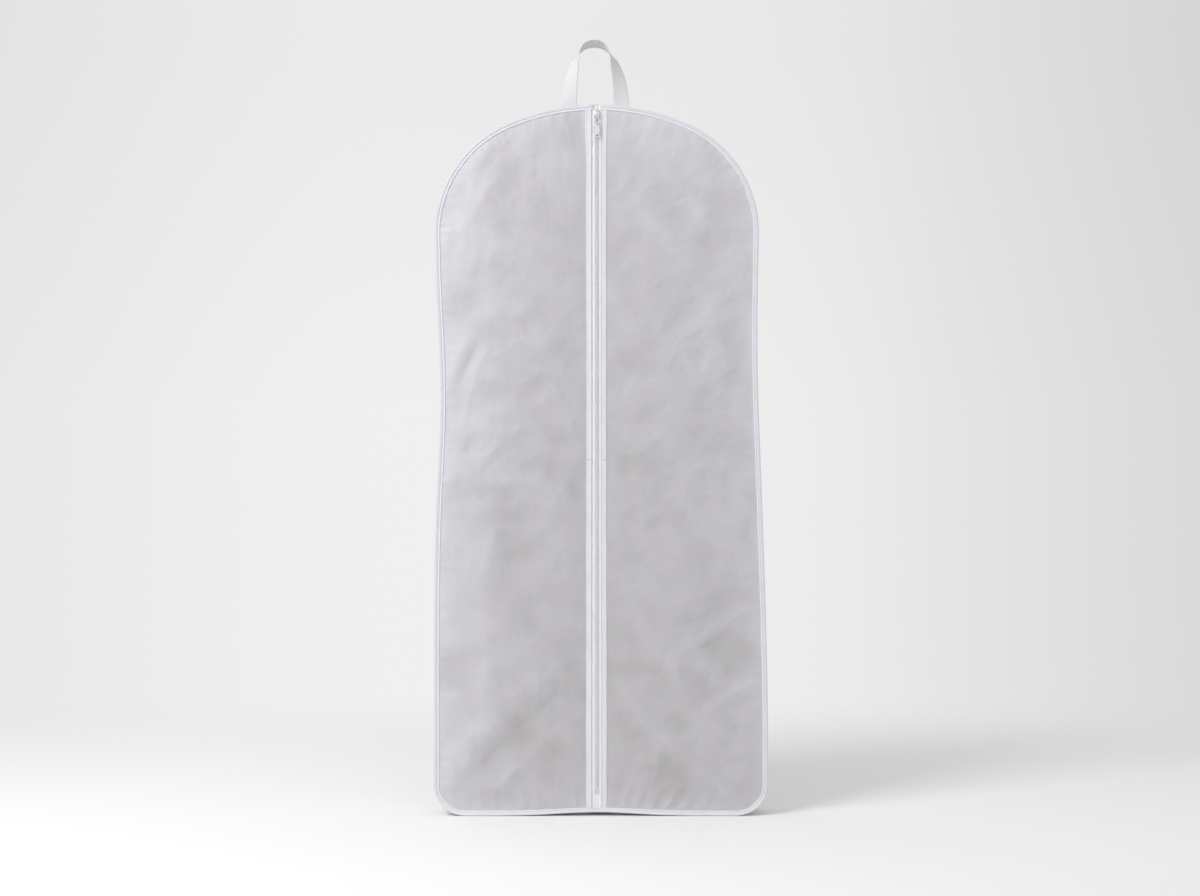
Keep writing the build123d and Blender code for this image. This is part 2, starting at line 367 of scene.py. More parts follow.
def crumple(a, b, seed, sizes, slope):
    """Creased relief in metres, over two coordinates.

    For each size, seven waves of about that length and random direction are added and the
    sum is folded along its zero line; its height is the size times the slope, so that all
    sizes are as steep. A slow wave leaves some places smoother than others.
    """
    draw = np.random.default_rng(seed)
    total = np.zeros(np.broadcast(a, b).shape)
    for size in sizes:
        length = size * draw.uniform(0.75, 1.35, 7)
        turn = draw.uniform(0, np.pi, 7)
        phase = draw.uniform(0, 2 * np.pi, 7)
        bend = 0.8 * np.sin(a / size * 1.7 + phase[0]) + 0.8 * np.sin(b / size * 1.3 + phase[1])
        wave = sum(
            np.sin(2 * np.pi * (a * np.cos(t) + b * np.sin(t)) / w + f + bend)
            for w, t, f in zip(length, turn, phase)
        ) / math.sqrt(3.5)
        busy = 0.7 + 0.45 * np.sin(a / size * 0.9 + phase[2]) * np.sin(b / size * 0.7 + phase[3])
        total = total + size * slope / 6 * busy * (0.4 * wave + 0.5 - 0.8 * np.sqrt(wave**2 + 0.02))
    return total


def normals_of(points, outward):
    """Unit normals of a grid: the cross product of its two directions, on the outward side."""
    n = np.cross(np.gradient(points, axis=1), np.gradient(points, axis=0))
    n = n / np.maximum(np.linalg.norm(n, axis=-1, keepdims=True), 1e-12)
    return n * np.sign(np.sum(n * outward))


def film_piece(name, points, made, normals, thickness=FILM, keep=None, milk_and_light=None):
    """Closed thin sheet: a grid of points, the same grid a thickness behind, and walls at its edges.

    keep says which cells of the grid are there, so that a hole can be left out. The UV
    map is in metres, measured along the middle row and the middle column. The last argument
    is how white the film looks at each point, from 0 to 1: its own milkiness with painted light and shade
    added.
    """
    rows, columns = points.shape[:2]
    faces = grid_faces(rows, columns)
    if keep is not None:
        faces = faces[keep.ravel()]
    count = rows * columns
    start = faces.ravel()
    end = np.roll(faces, -1, axis=1).ravel()
    open_edge = ~np.isin(start * count + end, end * count + start)
    a, b = start[open_edge], end[open_edge]
    wall = np.stack([b, a, a + count, b + count], -1)
    down = np.cumsum(np.r_[0, np.linalg.norm(np.diff(points[:, columns // 2], axis=0), axis=1)])
    over = np.cumsum(np.r_[0, np.linalg.norm(np.diff(points[rows // 2], axis=0), axis=1)])
    span = np.stack(np.broadcast_arrays(over[None, :], down[:, None]), -1).reshape(-1, 2)
    both = np.concatenate([points, points - normals * thickness]).reshape(-1, 3)
    allfaces = np.vstack([faces, faces[:, ::-1] + count, wall])
    lit = np.concatenate([normals, -normals]).reshape(-1, 3)
    values = None if milk_and_light is None else np.clip(np.concatenate([milk_and_light, milk_and_light]).ravel(), 0, 1)
    return mesh_piece(name, both, allfaces, made, np.vstack([span, span]), lit=lit, milk_and_light=values)


def node_group(name, inputs, outputs):
    """A new shader node group with float sockets, and the outputs of its input node."""
    group = bpy.data.node_groups.new(name, "ShaderNodeTree")
    for way, sockets in (("INPUT", inputs), ("OUTPUT", outputs)):
        for socket in sockets:
            group.interface.new_socket(socket, in_out=way, socket_type="NodeSocketFloat")
    return group, put(group, "NodeGroupInput").outputs


def noise(tree, place, scale, detail=2.0):
    """Output of a noise texture, 0 to 1."""
    return put(tree, "ShaderNodeTexNoise", {"Vector": place, "Scale": scale, "Detail": detail}).outputs[0]


def film_grain():
    """Node group: Cloud, a slow milky tone, Fleck, fine pebbling, and Height for a bump."""
    group, inside = node_group("film_grain", ["Cloud Scale"], ["Cloud", "Fleck", "Height"])
    place = put(group, "ShaderNodeTexCoord").outputs["Object"]
    small = noise(group, place, 480.0, 3.0)
    ends = {
        "Cloud": spread(group, noise(group, place, inside[0], 5.0), 0.3, 0.7),
        "Fleck": spread(group, small, 0.3, 0.7),
        "Height": arith(group, "ADD", small, noise(group, place, 1600.0)),
    }
    put(group, "NodeGroupOutput", ends)
    return group


FILM_GRAIN = film_grain()


def mixed(tree, factor, first, second):
    """Colour output that goes from the first colour to the second with the factor."""
    node = put(tree, "ShaderNodeMix", {"Factor": factor}, data_type="RGBA")
    for key, colour in ((6, first), (7, second)):
        feed(tree, node, {key: (*colour, 1) if isinstance(colour, tuple) else colour})
    return node.outputs[2]


def bumps(tree, height, strength, distance):
    """Normal output of a Bump node."""
    inputs = {"Strength": strength, "Distance": distance, "Height": height}
    return put(tree, "ShaderNodeBump", inputs).outputs[0]


def frosted_film(name, tone, shade):
    """Milky film: whiter and denser where its point attribute says, fine pebble grain, and a satin face; the
    attribute holds the film's own milkiness with painted light and shade added.
    """
    made, tree, shader = material(name)
    cloud, fleck, height = put(tree, "ShaderNodeGroup", {"Cloud Scale": 26.0}, node_tree=FILM_GRAIN).outputs
    white = put(tree, "ShaderNodeAttribute", attribute_name="milk_and_light").outputs["Fac"]
    haze = arith(tree, "MULTIPLY_ADD", fleck, 0.08, arith(tree, "MULTIPLY_ADD", cloud, 0.12, -0.1))
    milk_and_light = arith(tree, "ADD", white, haze, clamp=True)
    surface = {
        "Base Color": mixed(tree, milk_and_light, shade, tone),
        "Alpha": spread(tree, milk_and_light, 0.0, 1.0, 0.76, 0.874),
        "Roughness": spread(tree, fleck, 0.0, 1.0, 0.42, 0.56),
        "Normal": bumps(tree, height, 0.22, 0.4 * MM),
        "Specular IOR Level": 0.35,
    }
    feed(tree, shader, surface)
    return made


FILM_TONE = (0.725, 0.712, 0.762)
FILM_SHADE = (0.462, 0.447, 0.452)
FREE_MILK = 0.47
# Painted light: how much whiter the film is painted near its seams.
SEAM_LIGHT = 0.26
SLOW_MILK = 0.08
# Whiter on ridges and greyer in hollows per metre of fold relief: partly the film's crease whitening, partly
# painted light and shade.
RIDGE_WHITE_AND_SHADE = 26


def milk_and_light_of(along, over, inside, seed, relief=0):
    """Milk of a film with painted light and shade on it: even where it hangs free, painted whiter near its
    seams, in slow clouds of its own, and on its folds whiter on ridges and greyer in hollows, partly its own
    crease whitening and partly painted light and shade.
    """
    slow = billow(along, over, seed, 0.3, 0.05, 20)
    # Painted light near the seams, fading inwards.
    edge = np.exp(-np.maximum(inside, 0) / (0.045 * np.clip(1 + 0.5 * slow, 0.4, 1.6)))
    # The fold term paints light and shade on the relief, partly the film's crease whitening.
    return FREE_MILK + SEAM_LIGHT * edge + SLOW_MILK * slow + RIDGE_WHITE_AND_SHADE * relief


GUSSET_LOW = 0.6 * MM


def gusset_points(s_low, s_high, rows, columns, slack, seed):
    """Grid round the outline from s_low to s_high and from the front seam to the back.

    The film is drawn in by the slack times the sine of its depth, and by billows that fade
    out at both seams, under the top patch and at the joints between the four strips; short
    puckers run in from the seams.
    """
    s = np.linspace(s_low, s_high, rows)[:, None] + np.zeros((1, columns))
    t = (1 - np.cos(np.linspace(0, np.pi, columns)))[None, :] / 2 + np.zeros((rows, 1))
    place, outward = rim(s)
    from_crown = np.abs(HALF_ROUND - np.abs(s))
    joint = np.minimum(np.abs(np.abs(s) - RUNS[1]), np.abs(HALF_ROUND - from_crown - RUNS[2]))
    free = smooth(from_crown, 0.075, 0.16) * smooth(joint, 0, 0.035)
    hold = np.sin(np.pi * t) ** 0.8 * free
    pucker = np.sin(2 * np.pi * s / 0.021 + 3 * np.sin(s / 0.07)) * np.sin(2 * np.pi * s / 0.31 + seed)
    edge = sum(np.exp(-d / 0.16) * smooth(d, 0, 0.05) for d in (t, 1 - t))
    deep = (t - 0.5) * 0.071
    waves = 2.6 * MM * billow(s, deep, seed, 0.16, 0.04) + crumple(s, deep, seed, (0.09, 0.05, 0.028), 0.08)
    inset = (0.08 + 0.42 * free) * MM + slack * hold - hold * waves - 0.7 * MM * edge * pucker * free
    y = FRONT_SEAM + t * (BACK_SEAM - FRONT_SEAM)
    flat = place - inset[..., None] * outward
    p = stand(xyz(flat[..., 0], y, flat[..., 1]))
    p[..., 2] = np.maximum(p[..., 2], GUSSET_LOW)
    milk_and_light = milk_and_light_of(s, 0.5 * t * (BACK_SEAM - FRONT_SEAM), 0.06 + 0 * s, seed)
    return p, xyz(outward[..., 0], 0, outward[..., 1]), milk_and_light


def settle(piece, body, slot_name, *nodes):
    """Rides a piece on a body, and hides the CAD nodes that it stands for; slot_name is not used."""
    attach(piece, body)
    if nodes:
        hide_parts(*nodes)


gusset_film = frosted_film("gusset_film", FILM_TONE, FILM_SHADE)
HOOK_Y = 9 * MM
HOOK_HOLE = 10.8 * MM
# First and last place round the outline, rows, columns, slack and seed.
GUSSETS = {
    "gusset_base": (-RUNS[1], RUNS[1], 320, 26, 0.2 * MM, 3),
    "gusset_right": (RUNS[1], RUNS[2], 420, 26, 2.5 * MM, 5),
    "gusset_left": (-RUNS[2], -RUNS[1], 420, 26, 2.5 * MM, 8),
    "gusset_arch": (RUNS[2], 2 * HALF_ROUND - RUNS[2], 441, 34, -1.0 * MM, 13),
}
for node, (low, high, rows, columns, slack, seed) in GUSSETS.items():
    points, outward, milk_and_light = gusset_points(low, high, rows, columns, slack, seed)
    middle = (points[1:, 1:] + points[:-1, :-1]) / 2
    hole = np.hypot(middle[..., 0], middle[..., 1] - HOOK_Y) < HOOK_HOLE
    keep = ~(hole & (middle[..., 2] > HEIGHT / 2))
    strip = film_piece(node + "_film", points, gusset_film, normals_of(points, outward), keep=keep, milk_and_light=milk_and_light)
    settle(strip, "bag", "gusset", node)


# ---- Back panel ---------------------------------------------------------
# One sheet of the same film, cut to the outline. It lies a little full in
# its bound seam and keeps faint folds from being packed.

SEAM_TUCK = 7 * MM
BINDING_DEEP = 9 * MM
PUCKER_PITCH = 22.5 * MM
BACK_FULL = 3.2 * MM
BACK_BILLOW = 1.6 * MM


def inwards(x, z):
    """Distance in from the outline, and how far round the outline the nearest point lies."""
    x = np.abs(x)
    corner_x, corner_z = x - BASE_RUN, CORNER - z
    angle = np.arctan2(z - SIDE_TOP, x - (HALF_WIDTH - SHOULDER))
    over = np.arctan2(x, z - (HEIGHT - CROWN))
    part = [
        (corner_x > 0) & (corner_z > 0),
        (z < SIDE_TOP) & (z < HALF_WIDTH - x),
        z < SIDE_TOP,
        angle < np.pi / 2 - SHOULDER_TURN,
    ]
    distance = np.select(
        part,
        [
            CORNER - np.hypot(corner_x, corner_z),
            z,
            HALF_WIDTH - x,
            SHOULDER - np.hypot(x - (HALF_WIDTH - SHOULDER), z - SIDE_TOP),
        ],
        CROWN - np.hypot(x, z - (HEIGHT - CROWN)),
    )
    along = np.select(
        part,
        [
            RUNS[0] + CORNER * np.arctan2(corner_x, corner_z),
            x,
            RUNS[1] + z - CORNER,
            RUNS[2] + SHOULDER * angle,
        ],
        HALF_ROUND - CROWN * over,
    )
    return distance, along


def area_of(points):
    """Area of a grid of points, as the sum of its cells' cross products."""
    across, down = np.diff(points, axis=1)[:-1], np.diff(points, axis=0)[:, :-1]
    return float(np.linalg.norm(np.cross(across, down), axis=-1).sum())


def crease(x, z, fold):
    """One soft fold from point to point: a ridge beside a valley, faded at both ends."""
    ax, az, bx, bz, height, width = (v * MM for v in fold)
    run = math.hypot(bx - ax, bz - az)
    along = ((x - ax) * (bx - ax) + (z - az) * (bz - az)) / run
    aside = ((z - az) * (bx - ax) - (x - ax) * (bz - az)) / run
    aside = aside + 0.03 * run * np.sin(np.pi * along / run)
    t = aside / width
    shape = np.exp(-np.abs(t) ** 1.4) - 0.6 * bell(t + 1.7, 1.1)
    return height * shape * smooth(along, -0.1 * run, 0.3 * run) * smooth(along, 1.1 * run, 0.7 * run)


def seam_puckers(x, z, seed, strength):
    """Short puckers that run in from the bound seam, stronger in some stretches than in others."""
    inside, along = inwards(x, z)
    inside = np.maximum(inside - BINDING_DEEP, 0)
    side = np.where(x < 0, 2.1, 0.0)
    beat = np.sin(2 * np.pi * along / PUCKER_PITCH + 2.4 * np.sin(along / 0.033 + seed) + side)
    group = 0.55 + 0.45 * np.sin(along / 0.048 + seed + side) * np.sin(along / 0.017 + side)
    return strength * beat * group * np.exp(-inside / 0.017) * (1 - np.exp(-inside / 0.004))


back_film = frosted_film("back_film", FILM_TONE, FILM_SHADE)
s = np.linspace(BASE_RUN + 0.5 * MM, HALF_ROUND - 6 * MM, 330)
place, outward = rim(s)
place = place - SEAM_TUCK * outward
u = np.linspace(-1, 1, 130)
x = u[None, :] * place[:, :1]
z = place[:, 1:] + 0 * x
inside = np.maximum(inwards(x, z)[0] - SEAM_TUCK, 0)
free = 1 - np.exp(-inside / 0.014)
full = BACK_FULL * (1 - np.exp(-inside / 0.08))
relief = BACK_BILLOW * billow(x, z, 41, 0.42, 0.08) + crumple(x, z, 42, (0.2, 0.12, 0.07, 0.038, 0.022), 0.08)
# Each fold from one (x, z) to another, its height and its width, in millimetres.
BACK_FOLDS = [
    (-240, 420, 160, 640, 3.0, 20),
    (-120, 980, 230, 860, 2.6, 18),
    (-60, 120, 250, 300, 2.6, 18),
    (-250, 1000, -60, 1180, 2.4, 18),
    (240, 700, 90, 480, 2.4, 16),
    (-230, 250, -40, 40, 2.6, 18),
]
for fold in BACK_FOLDS:
    relief = relief + crease(x, z, fold)
y = BACK_FACE - 1.2 * MM + full + free * relief + seam_puckers(x, z, 1.0, 0.6 * MM)
points = stand(xyz(x, y, z))
milk_and_light = milk_and_light_of(x, z, inside, 44)
back = film_piece("back_panel_film", points, back_film, normals_of(points, (0, 1, 0)), milk_and_light=milk_and_light)
settle(back, "bag", "film_back", "back_panel")
flat_area = area_of(xyz(x, 0, z))


# ---- Front panels -------------------------------------------------------
# Two sheets of frosted film that meet at the zip. Each is cut in one piece;
# its halves above and below the middle are made as separate pieces.

SIDES = {"left": -1, "right": 1}
MIDDLE = 0.665
ZIP_EDGE = 10.6 * MM
PANEL_FACE = FRONT_FACE + 1.2 * MM
PANEL_FULL = 7.5 * MM
BILLOW_RISE = 1.3 * MM
FACING_EDGE = 19 * MM
BINDING_EDGE = 9.5 * MM


def cells(runs):
    """Values from the first of the runs to the last, each run in its own number of steps."""
    ends, counts = runs
    parts = [np.linspace(a, b, n, endpoint=False) for a, b, n in zip(ends[:-1], ends[1:], counts)]
    return np.concatenate(parts + [ends[-1:]])


def opening(piece, side, half, slot_name, *nodes):
    """Bakes a piece's place into its mesh, and hides the CAD nodes that it stands for.

    side, half and slot_name are not used.
    """
    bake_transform(piece)
    if nodes:
        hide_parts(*nodes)


def front_relief(x, z, side):
    """How far a front panel stands forward of its plane, and the part of that which is folds.

    It swells as 1 - exp(-distance) from both edges, and long billows, small crumples,
    named folds and seam puckers lie on that, all fading out at the edges.
    """
    seed = 70 if side == "left" else 90
    inside = np.maximum(inwards(x, z)[0] - BINDING_EDGE, 0)
    from_zip = np.maximum(np.abs(x) - FACING_EDGE, 0)
    both = (1 - np.exp(-from_zip / 0.06)) * (1 - np.exp(-inside / 0.06))
    free = (1 - np.exp(-from_zip / 0.016)) * (1 - np.exp(-inside / 0.012))
    relief = BILLOW_RISE * billow(x, z, seed, 0.36, 0.08)
    folds = crumple(x, z, seed + 1, (0.17, 0.1, 0.06, 0.034, 0.02), 0.06)
    for fold in PANEL_FOLDS:
        folds = folds + crease(x, z, fold)
    relief = relief + folds
    zip_beat = np.sin(2 * np.pi * z / 0.031 + 2 * np.sin(z / 0.05 + SIDES[side]))
    zip_pucker = 0.35 * MM * zip_beat * np.exp(-from_zip / 0.02) * (1 - np.exp(-from_zip / 0.004))
    gathered = seam_puckers(x, z, 2.0, (1.25 if side == "left" else 0.9) * MM) + bottom_fan(x, z)
    return PANEL_FULL * both + free * relief + gathered + zip_pucker, free * folds + 0.6 * gathered


def bottom_fan(x, z):
    """Narrow folds that stand up from the bottom seam and spread, strongest midway along each half."""
    up = np.maximum(z - BINDING_EDGE, 0)
    low = np.exp(-up / 0.026) * (1 - np.exp(-up / 0.004))
    fanned = x * (1 - 1.8 * np.minimum(up, 0.08)) + 0.004 * np.sin(up / 0.017 + x / 0.06)
    beat = np.sin(2 * np.pi * fanned / 0.0245 + 1.7 * np.sin(x / 0.045))
    where = 0.3 + 0.7 * bell(np.abs(x) - 0.11, 0.075)
    clear = smooth(np.abs(x), 21 * MM, 45 * MM)
    return 2.2 * MM * clear * low * where * (beat + 0.25 * np.sin(2 * np.pi * fanned / 0.0125 + 1.0))


# Each fold from one (x, z) to another, its height and its width, in millimetres.
PANEL_FOLDS = [
    (-25, 262, -272, 36, -4.2, 24),
    (-30, 190, -215, 20, 2.4, 20),
    (-200, 330, -212, 150, 2.6, 20),
    (-208, 190, -280, 60, 2.8, 22),
    (-190, 560, -203, 300, 2.0, 24),
    (-222, 892, -286, 770, -3.2, 13),
    (-212, 880, -262, 730, 2.2, 10),
    (-150, 1240, -262, 1080, 2.2, 18),
    (-60, 860, -250, 1010, 1.6, 20),
    (-230, 1130, -110, 1010, 1.8, 18),
    (-120, 520, -30, 700, 1.5, 20),
    (18, 310, 110, 140, 2.8, 16),
    (90, 175, 262, 22, 2.8, 18),
    (62, 420, 150, 250, 2.3, 18),
    (135, 290, 205, 120, 2.5, 16),
    (275, 388, 160, 300, 2.6, 16),
    (290, 250, 196, 196, 2.2, 12),
    (196, 330, 262, 240, -2.6, 18),
    (205, 225, 270, 130, -2.6, 18),
    (90, 20, 112, 150, 2.0, 12),
    (120, 620, 275, 480, 1.6, 18),
    (60, 1180, 200, 1010, 1.8, 18),
    (110, 1240, 255, 1060, 2.0, 18),
    (250, 980, 120, 830, 1.6, 18),
]
crown_end = HALF_ROUND - CROWN * math.asin((ZIP_EDGE + 1.0 * MM) / (CROWN - SEAM_TUCK))
panel_ends = [BASE_RUN + 0.5 * MM, RUNS[1], RUNS[1] + MIDDLE - CORNER, RUNS[2], crown_end]
panel_place, panel_out = rim(cells((panel_ends, [22, 144, 110, 118])))
panel_place = panel_place - SEAM_TUCK * panel_out
LOWER_ROWS = 22 + 144
# Share of the way from the zip to the seam, closer together at both ends.
PANEL_U = np.concatenate(
    [np.linspace(0, 0.1, 11)[:-1], np.linspace(0.1, 0.9, 62)[:-1], np.linspace(0.9, 1, 11)]
)
for side, sign in SIDES.items():
    x = sign * (ZIP_EDGE + PANEL_U[None, :] * (panel_place[:, :1] - ZIP_EDGE))
    z = panel_place[:, 1:] + 0 * x
    relief, folds = front_relief(x, z, side)
    points = stand(xyz(x, PANEL_FACE - relief, z))
    lit = normals_of(points, (0, -1, 0))
    inside = inwards(x, z)[0] - 10 * MM
    milk_and_light = milk_and_light_of(x, z, inside, 55 if side == "left" else 58, folds)
    # Painted light: a lighter band along the left edge where light comes in through the gusset, and the film
    # lighter towards the top and the left where the lamp falls. The film is also made darker near the zip.
    painted_light_band = smooth(x, -170 * MM, -215 * MM - 60 * MM * smooth(z, 0.2, 0.05))
    milk_and_light = milk_and_light + 0.14 * (z - 0.6) / 0.7 - 0.05 * x / HALF_WIDTH
    milk_and_light = milk_and_light + 0.12 * painted_light_band - 0.1 * np.exp(-np.abs(x) / 0.1)
    film = frosted_film(f"front_film_{side}", FILM_TONE, FILM_SHADE)
    for half, rows in (("lower", slice(0, LOWER_ROWS + 1)), ("upper", slice(LOWER_ROWS, None))):
        name = f"front_panel_{side}_{half}"
        panel = film_piece(name, points[rows], film, lit[rows], milk_and_light=milk_and_light[rows])
        flat_area = area_of(xyz(x, 0, z)[rows])
        opening(panel, side, half, f"film_{side}", f"front_panel_{side}")


# ---- Zip tapes ----------------------------------------------------------
# Woven polyester tape, sewn behind each panel's edge. Its inner half shows:
# a raised cord beside the teeth, then flat tape that dips under the panel.

TAPE_FACE = PANEL_FACE + 0.8 * MM
TAPE_THICK = 0.45 * MM
TAPE_HALF = 19 * MM
TAPE_NECK = 7.4 * MM  # half width of its end, which passes between the binding's two ends
NECK_HIGH = 8.3 * MM
ZIP_MIDDLE_ROW = 330


def plain_weave():
    """Node group on the UV map, in metres: Height and Gap of crossing threads, Gap being the mask for painted
    shade between them, and a slow Uneven tone.

    The thread along shows where floor(u) + floor(v) is even, the thread across elsewhere;
    each is round, as the absolute sine of its own coordinate.
    """
    group, inside = node_group("plain_weave", ["Pitch", "Rib"], ["Height", "Gap", "Uneven"])
    uv = put(group, "ShaderNodeUVMap", uv_map="UVMap").outputs[0]
    apart = put(group, "ShaderNodeSeparateXYZ", {0: uv}).outputs
    u = arith(group, "DIVIDE", apart[0], inside[0])
    v = arith(group, "DIVIDE", apart[1], arith(group, "MULTIPLY", inside[0], inside[1]))
    total = arith(group, "ADD", arith(group, "FLOOR", u), arith(group, "FLOOR", v))
    parity = arith(group, "FLOORED_MODULO", total, 2.0)
    waves = [arith(group, "SINE", arith(group, "MULTIPLY", axis, math.pi)) for axis in (u, v)]
    along, over = (arith(group, "ABSOLUTE", wave) for wave in waves)
    height = put(group, "ShaderNodeMix", {"Factor": parity, 2: along, 3: over}, data_type="FLOAT").outputs[0]
    place = put(group, "ShaderNodeTexCoord").outputs["Object"]
    ends = {
        "Height": height,
        "Gap": spread(group, height, 0.0, 0.55, 0.45, 1.0),
        "Uneven": spread(group, noise(group, place, 55.0, 4.0), 0.3, 0.7, 0.7, 1.0),
    }
    put(group, "NodeGroupOutput", ends)
    return group


PLAIN_WEAVE = plain_weave()


def woven(name, tone, shade, pitch, sheen=0.25, rib=1.0):
    """Woven tape or webbing: threads that pass over and under on the UV map, painted shade in the gaps
    between them, soft sheen, faint soiling.
    """
    made, tree, shader = material(name)
    weave = put(tree, "ShaderNodeGroup", {"Pitch": pitch, "Rib": rib}, node_tree=PLAIN_WEAVE)
    height, gap, uneven = weave.outputs
    surface = {
        # Painted shade: the gaps between threads go towards the shade colour.
        "Base Color": mixed(tree, arith(tree, "MULTIPLY", gap, uneven), shade, tone),
        "Roughness": spread(tree, uneven, 0.0, 1.0, 0.72, 0.57),
        "Normal": bumps(tree, height, 0.6, 0.2 * MM),
        "Sheen Weight": sheen,
        "Specular IOR Level": 0.3,
    }
    feed(tree, shader, surface)
    return made


tape_cloth = woven("zip_tape_cloth", (0.86, 0.855, 0.895), (0.75, 0.745, 0.785), 0.55 * MM)

# Across the tape from the teeth: distance from the zip's middle, and height over the flat tape.
TAPE_SECTION = np.array(
    [
        (0.12, 0.0), (1.6, -0.05), (2.5, -0.2), (3.0, -0.35), (3.4, -0.3), (3.8, 0.35),
        (4.3, 0.8), (5.1, 0.9), (6.2, 0.9), (7.2, 0.75), (7.9, 0.3), (8.4, -0.25),
        (9.2, -0.5), (10.2, -0.5), (11.5, -0.4), (14.0, -0.3), (16.5, -0.2), (19.0, -0.2),
    ]
) * MM
tape_ends = [7 * MM, MIDDLE, HEIGHT - 8.6 * MM, HEIGHT - 8.0 * MM, HEIGHT - 0.7 * MM]
tape_rows = cells((tape_ends, [ZIP_MIDDLE_ROW, 330, 2, 10]))
for side, sign in SIDES.items():
    z = tape_rows[:, None] + 0 * TAPE_SECTION[None, :, 0]
    reach = np.where(tape_rows > HEIGHT - NECK_HIGH, TAPE_NECK, TAPE_HALF)[:, None]
    parted = 0.1 * MM * smooth(tape_rows, HEIGHT - 9 * MM, HEIGHT - 5 * MM)[:, None]
    x = sign * (np.minimum(TAPE_SECTION[None, :, 0], reach) + parted)
    ripple = 0.12 * MM * np.sin(2 * np.pi * z / 0.047 + sign) * np.sin(2 * np.pi * z / 0.31)
    y = TAPE_FACE - TAPE_SECTION[None, :, 1] - ripple
    points = stand(xyz(x, y, z))
    lit = normals_of(points, (0, -1, 0))
    for half, rows in (("lower", slice(0, ZIP_MIDDLE_ROW + 1)), ("upper", slice(ZIP_MIDDLE_ROW, None))):
        tape = film_piece(f"zip_tape_{side}_{half}", points[rows], tape_cloth, lit[rows], TAPE_THICK)
        opening(tape, side, half, "zip_tape", f"zip_tape_{side}")


# ---- Zip teeth ----------------------------------------------------------
# Each row is one nylon wire wound into a flattened spiral and sewn to its
# tape; the turns of the two rows lie between each other when it is closed.

COIL_PITCH = 1.3 * MM
COIL_WIRE = 0.35 * MM
COIL_LOW = 49.05 * MM
COIL_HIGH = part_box("zip_coil_left")[1][2] - 1.8 * MM
COIL_STEPS = 9
COIL_MIDDLE = np.array([1.38, -37.15]) * MM
COIL_RADII = np.array([1.3, 0.92]) * MM


def nylon(name, tone, shade):
    """Smooth moulded nylon, a little cloudy, with a soft shine and fine draw marks."""
    made, tree, shader = material(name)
    place = put(tree, "ShaderNodeTexCoord").outputs["Object"]
    slow = noise(tree, place, 260.0, 3.0)
    surface = {
        "Base Color": mixed(tree, slow, shade, tone),
        "Roughness": spread(tree, slow, 0.0, 1.0, 0.3, 0.46),
        "Normal": bumps(tree, noise(tree, place, 2600.0), 0.2, 0.1 * MM),
    }
    feed(tree, shader, surface)
    return made


def unit(vectors):
    """Vectors of the same directions and length 1."""
    return vectors / np.linalg.norm(vectors, axis=-1, keepdims=True)


def rings_of(sides, first, second):
    """Round each point of a path a unit circle, from its first direction to its second."""
    turn = circle(sides)[None, :, None]
    return np.cos(turn) * first[:, None] + np.sin(turn) * second[..., None, :]


def tube(path, radius, sides):
    """Tube round a path: a ring of points about each path point, square to its run.

    The ring's first direction is the run crossed with a fixed axis, the second square to both.
    """
    run = unit(np.gradient(path, axis=0))
    first = unit(np.cross(run, (0.13, 0.21, 1.0)))
    return path[:, None] + radius * rings_of(sides, first, np.cross(run, first))


def tube_piece(name, rings, made, closed=False, milk_and_light=None):
    """Piece from rings of points: sides between them, and a cap at each end unless it is closed."""
    rows, columns = rings.shape[:2]
    ends = [] if closed else [np.arange(columns), np.arange(columns) + (rows - 1) * columns]
    down = np.linspace(0, 1, rows)[:, None] * np.linalg.norm(np.diff(rings[:, 0], axis=0), axis=1).sum()
    around = np.linspace(0, 1, columns)[None, :] * np.linalg.norm(np.diff(rings[0], axis=0), axis=1).sum()
    span = np.stack(np.broadcast_arrays(around, down), -1).reshape(-1, 2)
    faces = grid_faces(rows, columns, wrap_rows=closed, wrap_columns=True)
    values = None if milk_and_light is None else milk_and_light.ravel()
    return mesh_piece(name, rings.reshape(-1, 3), faces, made, span, caps=ends, milk_and_light=values)


coil_nylon = nylon("coil_nylon", (0.93, 0.925, 0.95), (0.84, 0.835, 0.86))
turns = int((COIL_HIGH - COIL_LOW) / COIL_PITCH)
coil_turn = np.arange(turns * COIL_STEPS) / COIL_STEPS
for side, sign in SIDES.items():
    phase = 0.0 if sign < 0 else 0.5
    angle = 2 * np.pi * coil_turn
    z = COIL_LOW + COIL_PITCH * (coil_turn + phase)
    x = sign * (COIL_MIDDLE[0] - COIL_RADII[0] * np.cos(angle))
    y = COIL_MIDDLE[1] + COIL_RADII[1] * np.sin(angle)
    rings = tube(stand(xyz(x, y, z)), COIL_WIRE, 4)
    cut = int((MIDDLE - COIL_LOW) / COIL_PITCH) * COIL_STEPS
    for half, rows in (("lower", slice(0, cut + 1)), ("upper", slice(cut, None))):
        coil = tube_piece(f"zip_coil_{side}_{half}", rings[rows], coil_nylon)
        opening(coil, side, half, "zip_coil", f"zip_coil_{side}")


# ---- Zip facings --------------------------------------------------------
# A folded strip of the binding's own white film along each panel's edge,
# sewn through panel and tape with one row of stitches.

FACING_LIFT = 0.95 * MM
FACING_IN = 10.5 * MM
FACING_ROWS = 180
GROOVE_AT = 0.74  # share of the facing's width at which its stitches run
GROOVE_HIGH = 0.62 * MM


